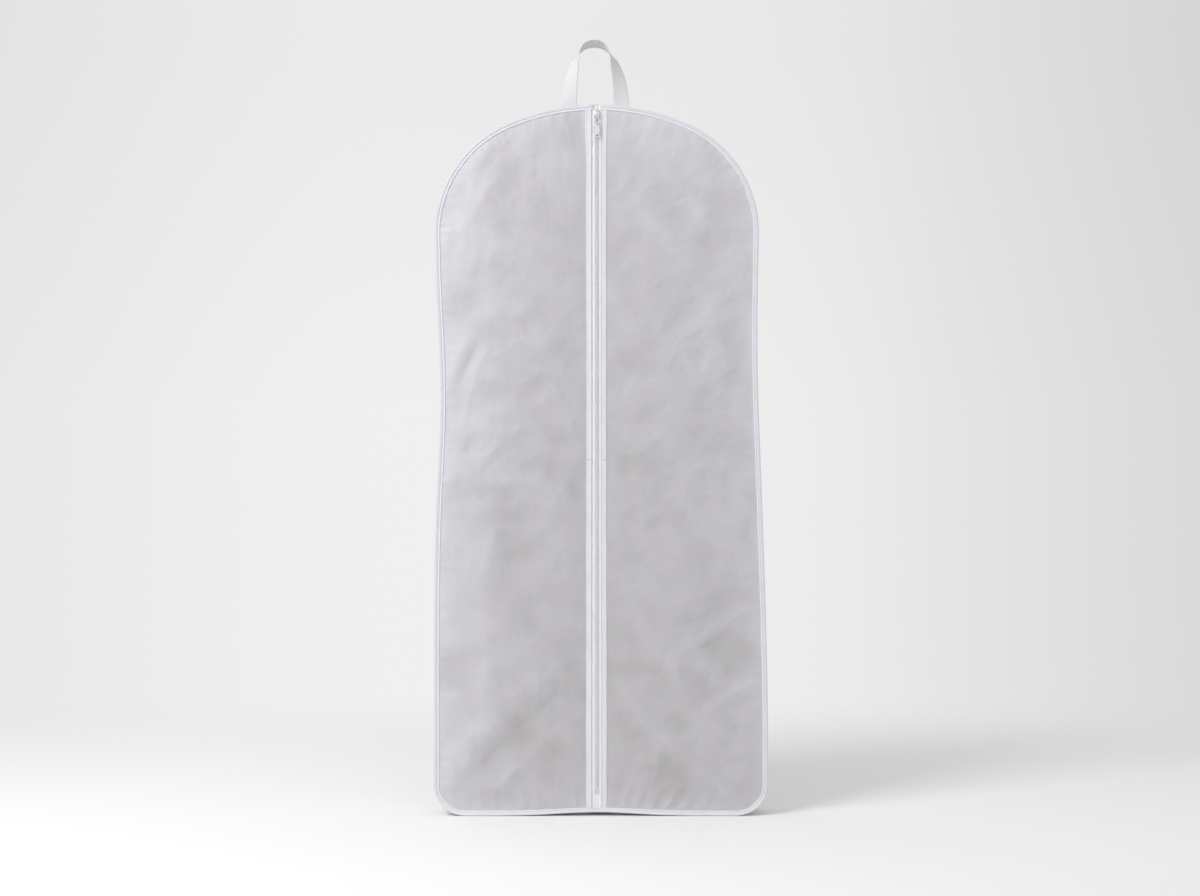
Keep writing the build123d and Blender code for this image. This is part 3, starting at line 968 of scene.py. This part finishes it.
def welt_film(name, tone, shade, painted_shade=None):
    """White film folded into tape: satin, faintly ribbed along the UV map, in a slow cloudy tone, with
    painted shade in the gaps of its ribs.

    Where a painted shade colour is given, the tape goes from that shade to its own colour as its point
    attribute rises.
    """
    made, tree, shader = material(name)
    cloud, fleck, height = put(tree, "ShaderNodeGroup", {"Cloud Scale": 38.0}, node_tree=FILM_GRAIN).outputs
    weave = put(tree, "ShaderNodeGroup", {"Pitch": 0.42 * MM, "Rib": 1.3}, node_tree=PLAIN_WEAVE).outputs
    # Painted shade in the gaps between the ribs, mixed with a slow cloudy tone.
    part = arith(tree, "MULTIPLY_ADD", weave["Gap"], 0.45, arith(tree, "MULTIPLY", cloud, 0.55))
    colour = mixed(tree, part, shade, tone)
    if painted_shade is not None:
        # Painted shade: towards the painted shade colour where the point attribute is low.
        white = put(tree, "ShaderNodeAttribute", attribute_name="milk_and_light").outputs["Fac"]
        colour = mixed(tree, white, painted_shade, colour)
    surface = {
        "Base Color": colour,
        "Roughness": spread(tree, fleck, 0.0, 1.0, 0.4, 0.55),
        "Normal": bumps(tree, arith(tree, "MULTIPLY_ADD", weave["Height"], 0.7, height), 0.3, 0.25 * MM),
        "Specular IOR Level": 0.4,
        "Sheen Weight": 0.15,
    }
    feed(tree, shader, surface)
    return made


def thread_cloth(name, tone, shade):
    """Spun thread: short slanted plies along each stitch, painted darker in the grooves between them as
    shade, matt, with a soft sheen.
    """
    made, tree, shader = material(name)
    place = put(tree, "ShaderNodeTexCoord").outputs["Object"]
    settings = {"Vector": place, "Scale": 900.0, "Distortion": 2.0}
    ply = put(tree, "ShaderNodeTexWave", settings, bands_direction="DIAGONAL").outputs["Fac"]
    surface = {
        "Base Color": mixed(tree, ply, shade, tone),
        "Roughness": 0.7,
        "Sheen Weight": 0.3,
        "Normal": bumps(tree, ply, 0.5, 0.1 * MM),
    }
    feed(tree, shader, surface)
    return made


def stitches(name, middle, along, out, length, width, height):
    """A row of stitches: each a short rounded bar of 4 rings by 6 points that sinks at both ends."""
    middle, along, out = (np.asarray(v, float) for v in (middle, along, out))
    along, out = np.broadcast_to(along, middle.shape), np.broadcast_to(out, middle.shape)
    across = np.cross(along, out)
    reach = np.array([-0.5, -0.32, 0.32, 0.5]) * length
    size = np.array([0.3, 1.0, 1.0, 0.3])
    turn = np.arange(6) * np.pi / 3
    rise = np.where(size < 1, -0.7, 0.0)[:, None] + size[:, None] * np.sin(turn)[None, :]
    points = (
        middle[:, None, None]
        + reach[None, :, None, None] * along[:, None, None]
        + (size[:, None] * np.cos(turn)[None, :] * width / 2)[None, ..., None] * across[:, None, None]
        + (rise * height / 2)[None, ..., None] * out[:, None, None]
    )
    each = grid_faces(4, 6, wrap_columns=True)
    first = np.arange(len(middle)) * 24
    faces = (each[None] + first[:, None, None]).reshape(-1, 4)
    caps = [*(first[:, None] + np.arange(6)), *(first[:, None] + 18 + np.arange(6))]
    return mesh_piece(name, points.reshape(-1, 3), faces, SEAM_THREAD, caps=caps)


FACING_FILM = welt_film("facing_film", (0.745, 0.74, 0.785), (0.65, 0.645, 0.69))
SEAM_THREAD = thread_cloth("seam_thread", (0.86, 0.855, 0.88), (0.66, 0.655, 0.68))
# Round a facing's section: share of its width from the zip, and height over the panel.
FACING_SECTION = np.array(
    [
        (0.02, -0.5), (-0.02, 0.1), (-0.03, 0.55), (0.02, 0.95), (0.1, 1.12), (0.2, 1.05),
        (0.34, 0.8), (0.5, 0.72), (0.66, 0.74), (0.74, 0.5), (0.8, 0.74), (0.88, 1.12),
        (0.95, 1.12), (1.0, 0.8), (1.02, 0.3), (1.0, -0.25), (0.7, -0.3), (0.35, -0.4),
    ]
)
facing_rows = cells(([8.5 * MM, MIDDLE, HEIGHT - 8.5 * MM], [FACING_ROWS, FACING_ROWS]))
for side, sign, width in (("left", -1, 10.0 * MM), ("right", 1, 6.6 * MM)):
    z = facing_rows[:, None] + 0 * FACING_SECTION[None, :, 0]
    wide = width * (1 + 0.18 * smooth(z, 1.22, HEIGHT)) + 0.25 * MM * np.sin(z / 0.021) * np.sin(z / 0.113)
    x = sign * (FACING_IN + wide * FACING_SECTION[None, :, 0])
    wave = 0.14 * MM * np.sin(2 * np.pi * z / 0.031 + 2 * np.sin(z / 0.05 + sign))
    y = PANEL_FACE - FACING_LIFT * FACING_SECTION[None, :, 1] - wave
    points = stand(xyz(x, y, z))
    for half, rows in (("lower", slice(0, FACING_ROWS + 1)), ("upper", slice(FACING_ROWS, None))):
        facing = tube_piece(f"zip_facing_{side}_{half}", points[rows], FACING_FILM)
        opening(facing, side, half, "facing", f"zip_facing_{side}")
        low, high = (MIDDLE, HEIGHT - 13 * MM) if half == "upper" else (16 * MM, MIDDLE)
        sz = np.arange(low + 1.4 * MM, high, 2.8 * MM)
        at = xyz(sign * (FACING_IN + GROOVE_AT * width), PANEL_FACE - GROOVE_HIGH, sz)
        size = (2.2 * MM, 0.55 * MM, 0.5 * MM)
        row = stitches(f"facing_stitches_{side}_{half}", stand(at), (0, 0, 1), (0, -1, 0), *size)
        opening(row, side, half, "thread")


# ---- Bottom stop --------------------------------------------------------
# A small stamped metal staple clamped across both rows at the zip's foot.


def polished(name, tone, painted_shade, roughness):
    """Plated die-cast metal: bright, with a slightly uneven polish and fine scuffs."""
    made, tree, shader = material(name)
    place = put(tree, "ShaderNodeTexCoord").outputs["Object"]
    slow = noise(tree, place, 350.0, 4.0)
    surface = {
        "Base Color": mixed(tree, slow, painted_shade, tone),
        "Roughness": spread(tree, slow, 0.3, 0.7, roughness, roughness + 0.16),
        "Metallic": 1.0,
        "Normal": bumps(tree, noise(tree, place, 2200.0), 0.12, 0.1 * MM),
    }
    feed(tree, shader, surface)
    return made


def power_of(value, power):
    """|value|^power with the value's own sign."""
    return np.sign(value) * np.abs(value) ** power


def rounded(half_x, half_z, power, count=40, waist=0.0):
    """Closed curve |x/a|^p + |z/b|^p = 1, its sides drawn in towards the foot by the waist."""
    turn = circle(count)
    x, z = power_of(np.cos(turn), 2 / power), power_of(np.sin(turn), 2 / power)
    x = x * (1 - waist * smooth(z, 0.2, -1.0))
    return np.stack([half_x * x, half_z * z], -1)


def stacked(name, outline, levels, made, hole=None, centre=(0, 0)):
    """A plate from one outline repeated at each level, given as (y, how far its rim is drawn in).

    Rings run from the front to the back, and with a hole back again through it.
    """
    rings = [(y, outline * (1 - inset / np.abs(outline).max(0).mean())) for y, inset in levels]
    if hole is not None:
        middle = hole.mean(0)
        for y, inset in levels[::-1]:
            wider = inset / np.abs(hole - middle).max()
            rings.append((y, hole * (1 + wider) - middle * wider))
    points = [xyz(centre[0] + face[:, 0], y, centre[1] + face[:, 1]) for y, face in rings]
    return tube_piece(name, np.stack(points), made, closed=hole is not None)


def levels_at(base, steps):
    """Levels of a stacked plate, from steps of (distance behind the base, inset) in millimetres."""
    return [(base + back * MM, inset * MM) for back, inset in steps]


SLIDER_METAL = polished("slider_metal", (0.74, 0.74, 0.745), (0.58, 0.58, 0.59), 0.26)
low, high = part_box("bottom_stop")
stop_face = rounded((high[0] - low[0]) / 2, (high[2] - low[2]) / 2, 3.4)
stop_levels = levels_at(low[1], [(-0.3, 1.4), (-0.2, 0.7), (0, 0.25), (0.3, 0)])
stop_levels = stop_levels + levels_at(high[1], [(-0.2, 0), (0, 0.3)])
stop_centre = ((low[0] + high[0]) / 2, (low[2] + high[2]) / 2)
stop = stacked("bottom_stop_staple", stop_face, stop_levels, SLIDER_METAL, centre=stop_centre)
settle(stop, "bag", "slider_metal", "bottom_stop")


# ---- Bindings -----------------------------------------------------------
# White film tape folded over each raw seam: a rolled outer edge, a sewn
# groove, and a raised bead on the panel. The front one parts for the zip.

# Round the section: distance in from the edge, and height over the CAD face of the seam.
BINDING_SECTION = np.array(
    [
        (9.6, -3.0), (7.5, -3.15), (5.0, -3.2), (2.6, -3.15), (1.2, -3.05), (0.35, -2.6),
        (0.0, -1.8), (0.05, -0.9), (0.55, -0.15), (1.5, 0.3), (2.8, 0.45), (4.2, 0.35),
        (5.3, -0.05), (5.95, -0.6), (6.35, -0.8), (6.75, -0.6), (7.2, -0.05), (7.9, 0.4),
        (8.7, 0.45), (9.4, 0.1), (9.85, -0.5), (10.0, -1.2), (9.9, -2.2),
    ]
) * MM
NOTCH = 6.4 * MM
# Its last colour is painted shade for the binding's roll and groove.
BINDING_FILM = welt_film("binding_film", (0.78, 0.775, 0.82), (0.70, 0.695, 0.735), (0.60, 0.59, 0.64))
STITCH_STEP = 3.4 * MM
STITCH_IN = 6.35 * MM
STITCH_DEEP = 0.62 * MM
END_CURL = 0.9 * MM

for node, face, forward in (("front_binding", FRONT_FACE, -1), ("back_binding", BACK_FACE, 1)):
    front = forward < 0
    reach = HALF_ROUND - (NOTCH if front else 0)
    s = np.linspace(-reach, reach, 940)
    if not front:
        s = s[:-1]
    place, outward = rim(s)
    pull = 0.16 * MM * np.sin(2 * np.pi * s / (2 * STITCH_STEP))
    pull = pull + 0.22 * MM * np.sin(s / 0.037) * np.sin(s / 0.0113)
    section_in, section_up = BINDING_SECTION.T[:, None]
    deep = section_in + pull[:, None] * smooth(section_in, 4 * MM, 10 * MM)
    swell = 1 + 0.12 * np.sin(s / 0.029 + 1)[:, None] * np.sin(s / 0.0071)[:, None]
    up = np.where(section_up > 0, section_up * swell, section_up)
    if front:
        end = smooth(reach - np.abs(s), 2.2 * MM, 0)[:, None]
        deep = deep + (5 * MM - deep) * 0.22 * end
        up = up + (-1.4 * MM - up) * 0.35 * end
        curl = smooth(reach - np.abs(s), 14 * MM, 0)[:, None]
        deep = deep - END_CURL * curl
    flat = place[:, None] - deep[..., None] * outward[:, None]
    y = face + forward * up
    points = stand(xyz(flat[..., 0], y, flat[..., 1]))
    points[..., 2] = np.maximum(points[..., 2], 0.0)
    # Painted light and shade: all of the binding but its bead is greyed towards the painted shade colour, and
    # the run along the floor is painted whiter.
    bead = smooth(deep, 5.5 * MM, 7.2 * MM) * smooth(deep, 10.2 * MM, 9.0 * MM)
    milk_and_light = np.clip(0.38 + 0.62 * bead + 0.5 * smooth(points[..., 2], 0.05, 0.01), 0, 1)
    tape = tube_piece(f"{node}_tape", points, BINDING_FILM, closed=not front, milk_and_light=milk_and_light)
    settle(tape, "bag", "binding", node)

    sewn = np.arange(-reach + 4 * MM, reach - 3 * MM, STITCH_STEP)
    place, outward = rim(sewn)
    at = place - STITCH_IN * outward
    middle = stand(xyz(at[:, 0], face - forward * STITCH_DEEP, at[:, 1]))
    along = xyz(-outward[:, 1], 0, outward[:, 0])
    row = stitches(f"{node}_stitches", middle, along, (0, forward, 0), 2.7 * MM, 0.6 * MM, 0.6 * MM)
    settle(row, "bag", "thread")


# ---- Slider and its pull ------------------------------------------------
# Die-cast plated slider: two plates on a neck, an arched crown, a wire link
# through it, and a flat tab with a hole that hangs from the link.

low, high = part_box("slider_body")
SLIDER_Z = (low[2] + high[2]) / 2
face = rounded((high[0] - low[0]) / 2, (high[2] - low[2]) / 2, 3.0, waist=0.2)
front_plate = levels_at(low[1], [(0, 2.6), (0.1, 1.2), (0.35, 0.4), (0.8, 0), (1.35, 0), (1.5, 0.35)])
back_plate = levels_at(high[1], [(-1.2, 0.3), (-1.0, 0), (-0.4, 0), (-0.1, 0.5), (0, 1.6)])
neck = levels_at(low[1], [(0.7, 0), (2.0, 0.12)]) + levels_at(high[1], [(-2.0, 0.12), (-0.7, 0)])
flange = levels_at(low[1], [(1.0, 0), (2.4, 0), (3.6, 0.05), (3.9, 0.25)])
neck_face = rounded(1.2 * MM, 1.25 * MM, 4, 24)
flange_face = rounded(0.6 * MM, 5.2 * MM, 5, 32)
parts = [
    ("slider_front_plate", face, front_plate, (0, SLIDER_Z)),
    ("slider_back_plate", face, back_plate, (0, SLIDER_Z)),
    ("slider_neck", neck_face, neck, (0, high[2] - 2.25 * MM)),
    ("slider_flange_left", flange_face, flange, (-4.85 * MM, SLIDER_Z)),
    ("slider_flange_right", flange_face, flange, (4.85 * MM, SLIDER_Z)),
]
for name, outline, levels, centre in parts:
    plate = stacked(name, outline, levels, SLIDER_METAL, centre=centre)
    settle(plate, "slider", "slider_metal", "slider_body")

low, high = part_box("slider_crown")
CROWN_HALF = (high[2] - low[2]) / 2
depth = high[1] - low[1] - 0.5 * MM
turn = np.linspace(0, np.pi, 40)
strap_y = high[1] + 0.5 * MM - (depth + 0.5 * MM) * np.sin(turn) ** 0.5
strap_z = (low[2] + high[2]) / 2 + (CROWN_HALF - 0.5 * MM) * power_of(np.cos(turn), 0.55)
strap_line = xyz(0, strap_y, strap_z)
rise = np.cross(unit(np.gradient(strap_line, axis=0)), (1.0, 0, 0))
turn = circle(16)
strap_wide = (1.3 * MM * power_of(np.cos(turn), 0.5))[None, :, None]
strap_thick = (0.5 * MM * power_of(np.sin(turn), 0.7))[None, :, None]
rings = strap_line[:, None] + strap_wide * np.array([1.0, 0, 0]) + strap_thick * rise[:, None]
crown = tube_piece("slider_crown_strap", rings, SLIDER_METAL)
settle(crown, "slider", "slider_metal", "slider_crown")

low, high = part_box("pull_link")
LINK_WIRE = 0.68 * MM
middle = (np.array(low) + high) / 2
oval = rounded((high[0] - low[0]) / 2 - LINK_WIRE, (high[2] - low[2]) / 2 - LINK_WIRE, 3.6, 72)
link_line = xyz(oval[:, 0], middle[1], oval[:, 1] + middle[2])
run = unit(np.roll(link_line, -1, 0) - np.roll(link_line, 1, 0))
forward = np.array([0, 1.0, 0])
rings = link_line[:, None] + LINK_WIRE * rings_of(12, np.cross(run, forward), forward)
link = tube_piece("pull_link_wire", rings, SLIDER_METAL, closed=True)
settle(link, "link", "slider_metal", "pull_link")

low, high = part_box("pull_tab")
PULL_Y = (low[1] + high[1]) / 2
PIVOT_Z = high[2] - 2.31 * MM
KNUCKLE_BORE = 1.39 * MM
KNUCKLE_HALF = 2.0 * MM
tab_top = PIVOT_Z - KNUCKLE_BORE - 0.45 * MM
tab_half = (tab_top - low[2]) / 2
outline = rounded((high[0] - low[0]) / 2, tab_half, 3.8, 64)
turn = circle(64)
hole = np.stack([3.1 * MM * np.cos(turn), 1.6 * MM * np.sin(turn) - tab_half + 3.9 * MM], -1)
tab_levels = levels_at(PULL_Y, [(-0.8, 0.55), (-0.72, 0.2), (-0.45, 0), (0.45, 0), (0.72, 0.2), (0.8, 0.55)])
tab = stacked("pull_tab_plate", outline, tab_levels, SLIDER_METAL, hole, (0, tab_top - tab_half))
# Round the knuckle's wall: how far in from the nearer end, and how far out from the bore.
KNUCKLE_SECTION = np.array([(0, 0.2), (0.1, 0.76), (0.3, 0.86), (0.1, 0.0)]) * MM
ends = [(-1, 0), (-1, 1), (-1, 2), (1, 2), (1, 1), (1, 0), (1, 3), (-1, 3)]
wall_x = np.array([end * (KNUCKLE_HALF - KNUCKLE_SECTION[k, 0]) for end, k in ends])
wall_out = np.array([KNUCKLE_BORE + KNUCKLE_SECTION[k, 1] for end, k in ends])
turn = circle(40)[:, None]
knuckle = xyz(wall_x, PULL_Y + wall_out * np.cos(turn), PIVOT_Z + wall_out * np.sin(turn))
roll = tube_piece("pull_tab_knuckle", knuckle, SLIDER_METAL, closed=True)
for piece in (tab, roll):
    settle(piece, "tab", "slider_metal", "pull_tab")


# ---- Top patch ----------------------------------------------------------
# A woven reinforcement sewn flat on the arch, with its edges turned under. It
# takes the load of the carrying loop and of the hook through the eyelet.

PATCH_X = 73 * MM
PATCH_FRONT = -30 * MM
PATCH_BACK = 26 * MM
PATCH_THICK = 0.8 * MM


def on_arch(x, y, above):
    """Points over the crown at x and y, above it by a distance measured square to its arc."""
    angle = x / CROWN
    radius = CROWN + above
    return xyz(radius * np.sin(angle), y, HEIGHT - CROWN + radius * np.cos(angle))


webbing_cloth = woven("webbing_cloth", (0.75, 0.742, 0.765), (0.65, 0.64, 0.65), 0.9 * MM, 0.3, 0.6)
patch_cloth = woven("patch_cloth", (0.76, 0.755, 0.79), (0.62, 0.615, 0.65), 0.6 * MM)
u = np.linspace(-PATCH_X, PATCH_X, 121)[:, None]
v = np.linspace(PATCH_FRONT, PATCH_BACK, 49)[None, :]
hem = np.minimum(PATCH_X - np.abs(u), np.minimum(v - PATCH_FRONT, PATCH_BACK - v))
lift = 0.12 * MM * smooth(hem, 5 * MM, 4 * MM) * smooth(hem, -0.2 * MM, 0.6 * MM)
lift = lift - 0.1 * MM * bell(hem - 3 * MM, 0.5 * MM)
lift = lift + 0.08 * MM * np.sin(u / 0.009) * np.sin(v / 0.011) * smooth(hem, 2 * MM, 8 * MM)
points = on_arch(u, v, PATCH_THICK + lift)
middle = (points[1:, 1:] + points[:-1, :-1]) / 2
keep = np.hypot(middle[..., 0], middle[..., 1] - HOOK_Y) > HOOK_HOLE
patch = film_piece("top_patch_cloth", points, patch_cloth, normals_of(points, (0, 0, 1)), PATCH_THICK, keep)
settle(patch, "bag", "webbing", "top_patch")

EDGE_IN = 3 * MM
long_run = np.arange(-PATCH_X + 4 * MM, PATCH_X - 3 * MM, 3.2 * MM)
short_run = np.arange(PATCH_FRONT + 4 * MM, PATCH_BACK - 3 * MM, 3.2 * MM)
sx = np.r_[long_run, long_run, 0 * short_run - PATCH_X + EDGE_IN, 0 * short_run + PATCH_X - EDGE_IN]
sy = np.r_[0 * long_run + PATCH_FRONT + EDGE_IN, 0 * long_run + PATCH_BACK - EDGE_IN, short_run, short_run]
tilt = sx / CROWN
over, out = xyz(np.cos(tilt), 0, -np.sin(tilt)), xyz(np.sin(tilt), 0, np.cos(tilt))
lengthways = (np.arange(len(sx)) < 2 * len(long_run))[:, None]
along = np.where(lengthways, over, np.array([0.0, 1, 0]))
seam = on_arch(sx, sy, PATCH_THICK + 0.12 * MM)
settle(stitches("patch_stitches", seam, along, out, 2.6 * MM, 0.6 * MM, 0.5 * MM), "bag", "thread")


# ---- Carrying loop ------------------------------------------------------
# One length of soft webbing: both ends lie flat on the patch, fold up at the
# front, and each leg takes a quarter twist into the arc that the hand holds.

WEB_HALF = 14.5 * MM
WEB_THICK = 1.3 * MM
LOOP_Y = -17 * MM
SEWN_BACK = 4.5 * MM
LEG_X = 49 * MM
LOOP_SHIFT = -3.5 * MM
FOLD_Z = HEIGHT + 3.0 * MM
LOOP_TOP = 1449 * MM
FOLD_ROUND = 1.7 * MM
# One leg from its foot to the top of the arc: x and z in millimetres, and twist in degrees.
LEG_POINTS = np.array(
    [
        (-49.0, 1333, 0), (-48.6, 1350, 12), (-46.6, 1370, 24), (-43.0, 1392, 38),
        (-37.5, 1413, 57), (-31.6, 1427, 78), (-26.4, 1436.2, 92), (-19.5, 1443.6, 101),
        (-10.5, 1448.0, 107), (0.0, 1449.2, 109.5),
    ]
)


def through(points, steps):
    """Smooth curve through points: on each span a cubic whose end slopes follow the neighbours (Catmull-Rom).

    The last point's own mirror image, x turned over, serves as its far neighbour.
    """
    ahead = points[-2] * np.array([-1.0, 1.0, 1.0])
    p = np.vstack([2 * points[0] - points[1], points, ahead])
    t = (np.arange(steps) / steps)[None, :, None]
    a, b, c, d = (p[i : len(p) - 3 + i][:, None] for i in range(4))
    span = b + 0.5 * t * (c - a + t * (2 * a - 5 * b + 4 * c - d + t * (3 * (b - c) + d - a)))
    return np.vstack([span.reshape(-1, 3), points[-1:]])


def loop_line():
    """Middle line of the webbing and the direction across it, from one sewn end to the other.

    Each end runs forward over the patch, turns up through a quarter circle, and follows the
    leg's points. The direction across starts along the arch and turns about the line by the
    leg's twist, until it points forward and up at the top; the far half is the mirror image.
    """
    seat = (PATCH_THICK + WEB_THICK / 2) + 0.1 * MM
    sewn_y = np.linspace(SEWN_BACK, LOOP_Y + FOLD_ROUND, 14)[:-1]
    sewn = on_arch(np.full(13, -LEG_X), sewn_y, seat)
    bend = np.linspace(0, np.pi / 2, 9)[:-1]
    root = on_arch(np.array([-LEG_X]), np.array([0.0]), seat)[0]
    bend_y, bend_z = FOLD_ROUND * (1 - np.sin(bend)), FOLD_ROUND * (1 - np.cos(bend))
    turned = xyz(root[0], LOOP_Y + bend_y, root[2] + bend_z)
    foot = root[2] + FOLD_ROUND
    leg = through(LEG_POINTS, 24)
    rise = (leg[:, 1] - LEG_POINTS[0][1]) / (LEG_POINTS[-1][1] - LEG_POINTS[0][1])
    leg_x = leg[:, 0] * MM * abs(root[0]) / LEG_X
    height = foot + rise * (LOOP_TOP - foot)
    half_line = np.concatenate([sewn, turned, xyz(leg_x, LOOP_Y, height)])
    step = np.gradient(np.stack([leg_x, height], -1), axis=0)
    lean = np.arctan2(step[:, 0], step[:, 1])
    lean[-1] = np.pi / 2
    arch_lean = -LEG_X / CROWN
    lean = lean + arch_lean * smooth(rise, 0.4, 0.0)
    twist = np.radians(leg[:, 2])
    flat = xyz(np.cos(lean), 0, -np.sin(lean))
    across = np.cos(twist)[:, None] * flat + np.sin(twist)[:, None] * np.array([0.0, -1.0, 0.0])
    still = np.array([math.cos(arch_lean), 0, -math.sin(arch_lean)])
    half_across = np.concatenate([np.tile(still, (21, 1)), across])
    mirror = np.array([-1.0, 1.0, 1.0])
    line = np.concatenate([half_line, (half_line * mirror)[-2::-1]])
    across = np.concatenate([half_across, (half_across * mirror)[-2::-1]])
    return line, across


line, across = loop_line()
climb = smooth(line[:, 2], FOLD_Z, LOOP_TOP)
line = line + xyz(LOOP_SHIFT * (1 + 0.5 * climb), 0, 0)
run = unit(np.gradient(line, axis=0))
across = unit(across - run * np.sum(across * run, 1, keepdims=True))
out = np.cross(across, run)
# Round the webbing's section: share of its half width, and share of its half thickness.
w = np.linspace(-1, 1, 17)
selvedge = np.where(np.abs(w) > 0.93, 1.25, np.where(np.abs(w) > 0.84, 0.8, 1.0))
top_side = np.stack([w * 0.985, selvedge], -1)
low_side = np.stack([w[::-1] * 0.985, -selvedge[::-1]], -1)
section = np.concatenate([top_side, [[1.0, 0.45], [1.0, -0.45]], low_side, [[-1.0, -0.45], [-1.0, 0.45]]])
cup = 0.5 * MM * (section[:, 0] ** 2)[None, :] * climb[:, None]
thick = (WEB_THICK / 2) * section[None, :, 1] - cup
rings = line[:, None] + (WEB_HALF * section[None, :, :1]) * across[:, None] + thick[..., None] * out[:, None]
loop = tube_piece("carrying_loop_webbing", rings, webbing_cloth)
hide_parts("carrying_loop", "loop_end_left", "loop_end_right")
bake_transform(loop)


# ---- Bar tacks ----------------------------------------------------------
# Dense satin stitching across each sewn end, through webbing and patch.

TACK_Y = (-11.25 * MM, 0.25 * MM)
tack_x = np.arange(-12.0, 12.1, 0.62) * MM
sx, sy = [], []
for leg in (-LEG_X, LEG_X):
    for y in TACK_Y:
        sx.append(leg + LOOP_SHIFT + tack_x)
        sy.append(y + 0.14 * MM * np.cos(np.pi * np.arange(len(tack_x))))
sx, sy = np.concatenate(sx), np.concatenate(sy)
tilt = sx / CROWN
out = xyz(np.sin(tilt), 0, np.cos(tilt))
slant = np.where(np.arange(len(sx)) % 2 == 0, 0.12, -0.12)
along = xyz(slant * np.cos(tilt), np.sqrt(1 - slant**2), -slant * np.sin(tilt))
seam = on_arch(sx, sy, PATCH_THICK + WEB_THICK + 0.22 * MM)
tacks = stitches("bar_tack_stitches", seam, along, out, 2.6 * MM, 0.62 * MM, 0.7 * MM)
settle(tacks, "bag", "thread", "bar_tacks")


# ---- Hanger eyelet ------------------------------------------------------
# A plated eyelet through patch and film, its lip rolled over a flat washer
# underneath. The hanger's hook passes through it.

EYELET_METAL = polished("eyelet_metal", (0.80, 0.80, 0.795), (0.62, 0.62, 0.62), 0.22)


def turned_ring(name, section):
    """Ring from a closed section of (radius, height), turned about the eyelet's upright axis."""
    section = np.asarray(section) * MM
    turn = circle(96)[:, None]
    radius, height = section.T[:, None]
    points = xyz(radius * np.cos(turn), HOOK_Y + radius * np.sin(turn), height)
    return tube_piece(name, points, EYELET_METAL, closed=True)


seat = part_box("hanger_eyelet")[1][2] / MM - 1.0
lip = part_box("hanger_eyelet")[0][2] / MM
EYELET_SECTION = [
    (13.0, seat + 0.1), (12.85, seat + 0.45), (12.3, seat + 0.75), (11.2, seat + 0.95),
    (10.0, seat + 1.0), (9.1, seat + 0.9), (8.4, seat + 0.55), (8.05, seat), (8.0, seat - 0.8),
    (8.0, lip + 0.6), (8.15, lip + 0.2), (8.6, lip), (9.3, lip), (9.8, lip + 0.2),
    (9.9, lip + 0.5), (9.6, lip + 0.75), (9.05, lip + 0.8), (8.95, lip + 1.2),
    (8.95, seat - 0.1), (9.2, seat + 0.02), (12.6, seat - 0.05),
]
settle(turned_ring("hanger_eyelet_ring", EYELET_SECTION), "bag", "eyelet_metal", "hanger_eyelet")

low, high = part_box("eyelet_washer")
base, top = low[2] / MM, high[2] / MM
WASHER_SECTION = [
    (9.05, base + 0.05), (9.3, base), (12.5, base), (12.85, base + 0.15), (13.0, base + 0.45),
    (12.9, top - 0.15), (12.5, top), (9.4, top), (9.1, top - 0.1), (9.02, top - 0.4),
]
settle(turned_ring("eyelet_washer_ring", WASHER_SECTION), "bag", "eyelet_metal", "eyelet_washer")
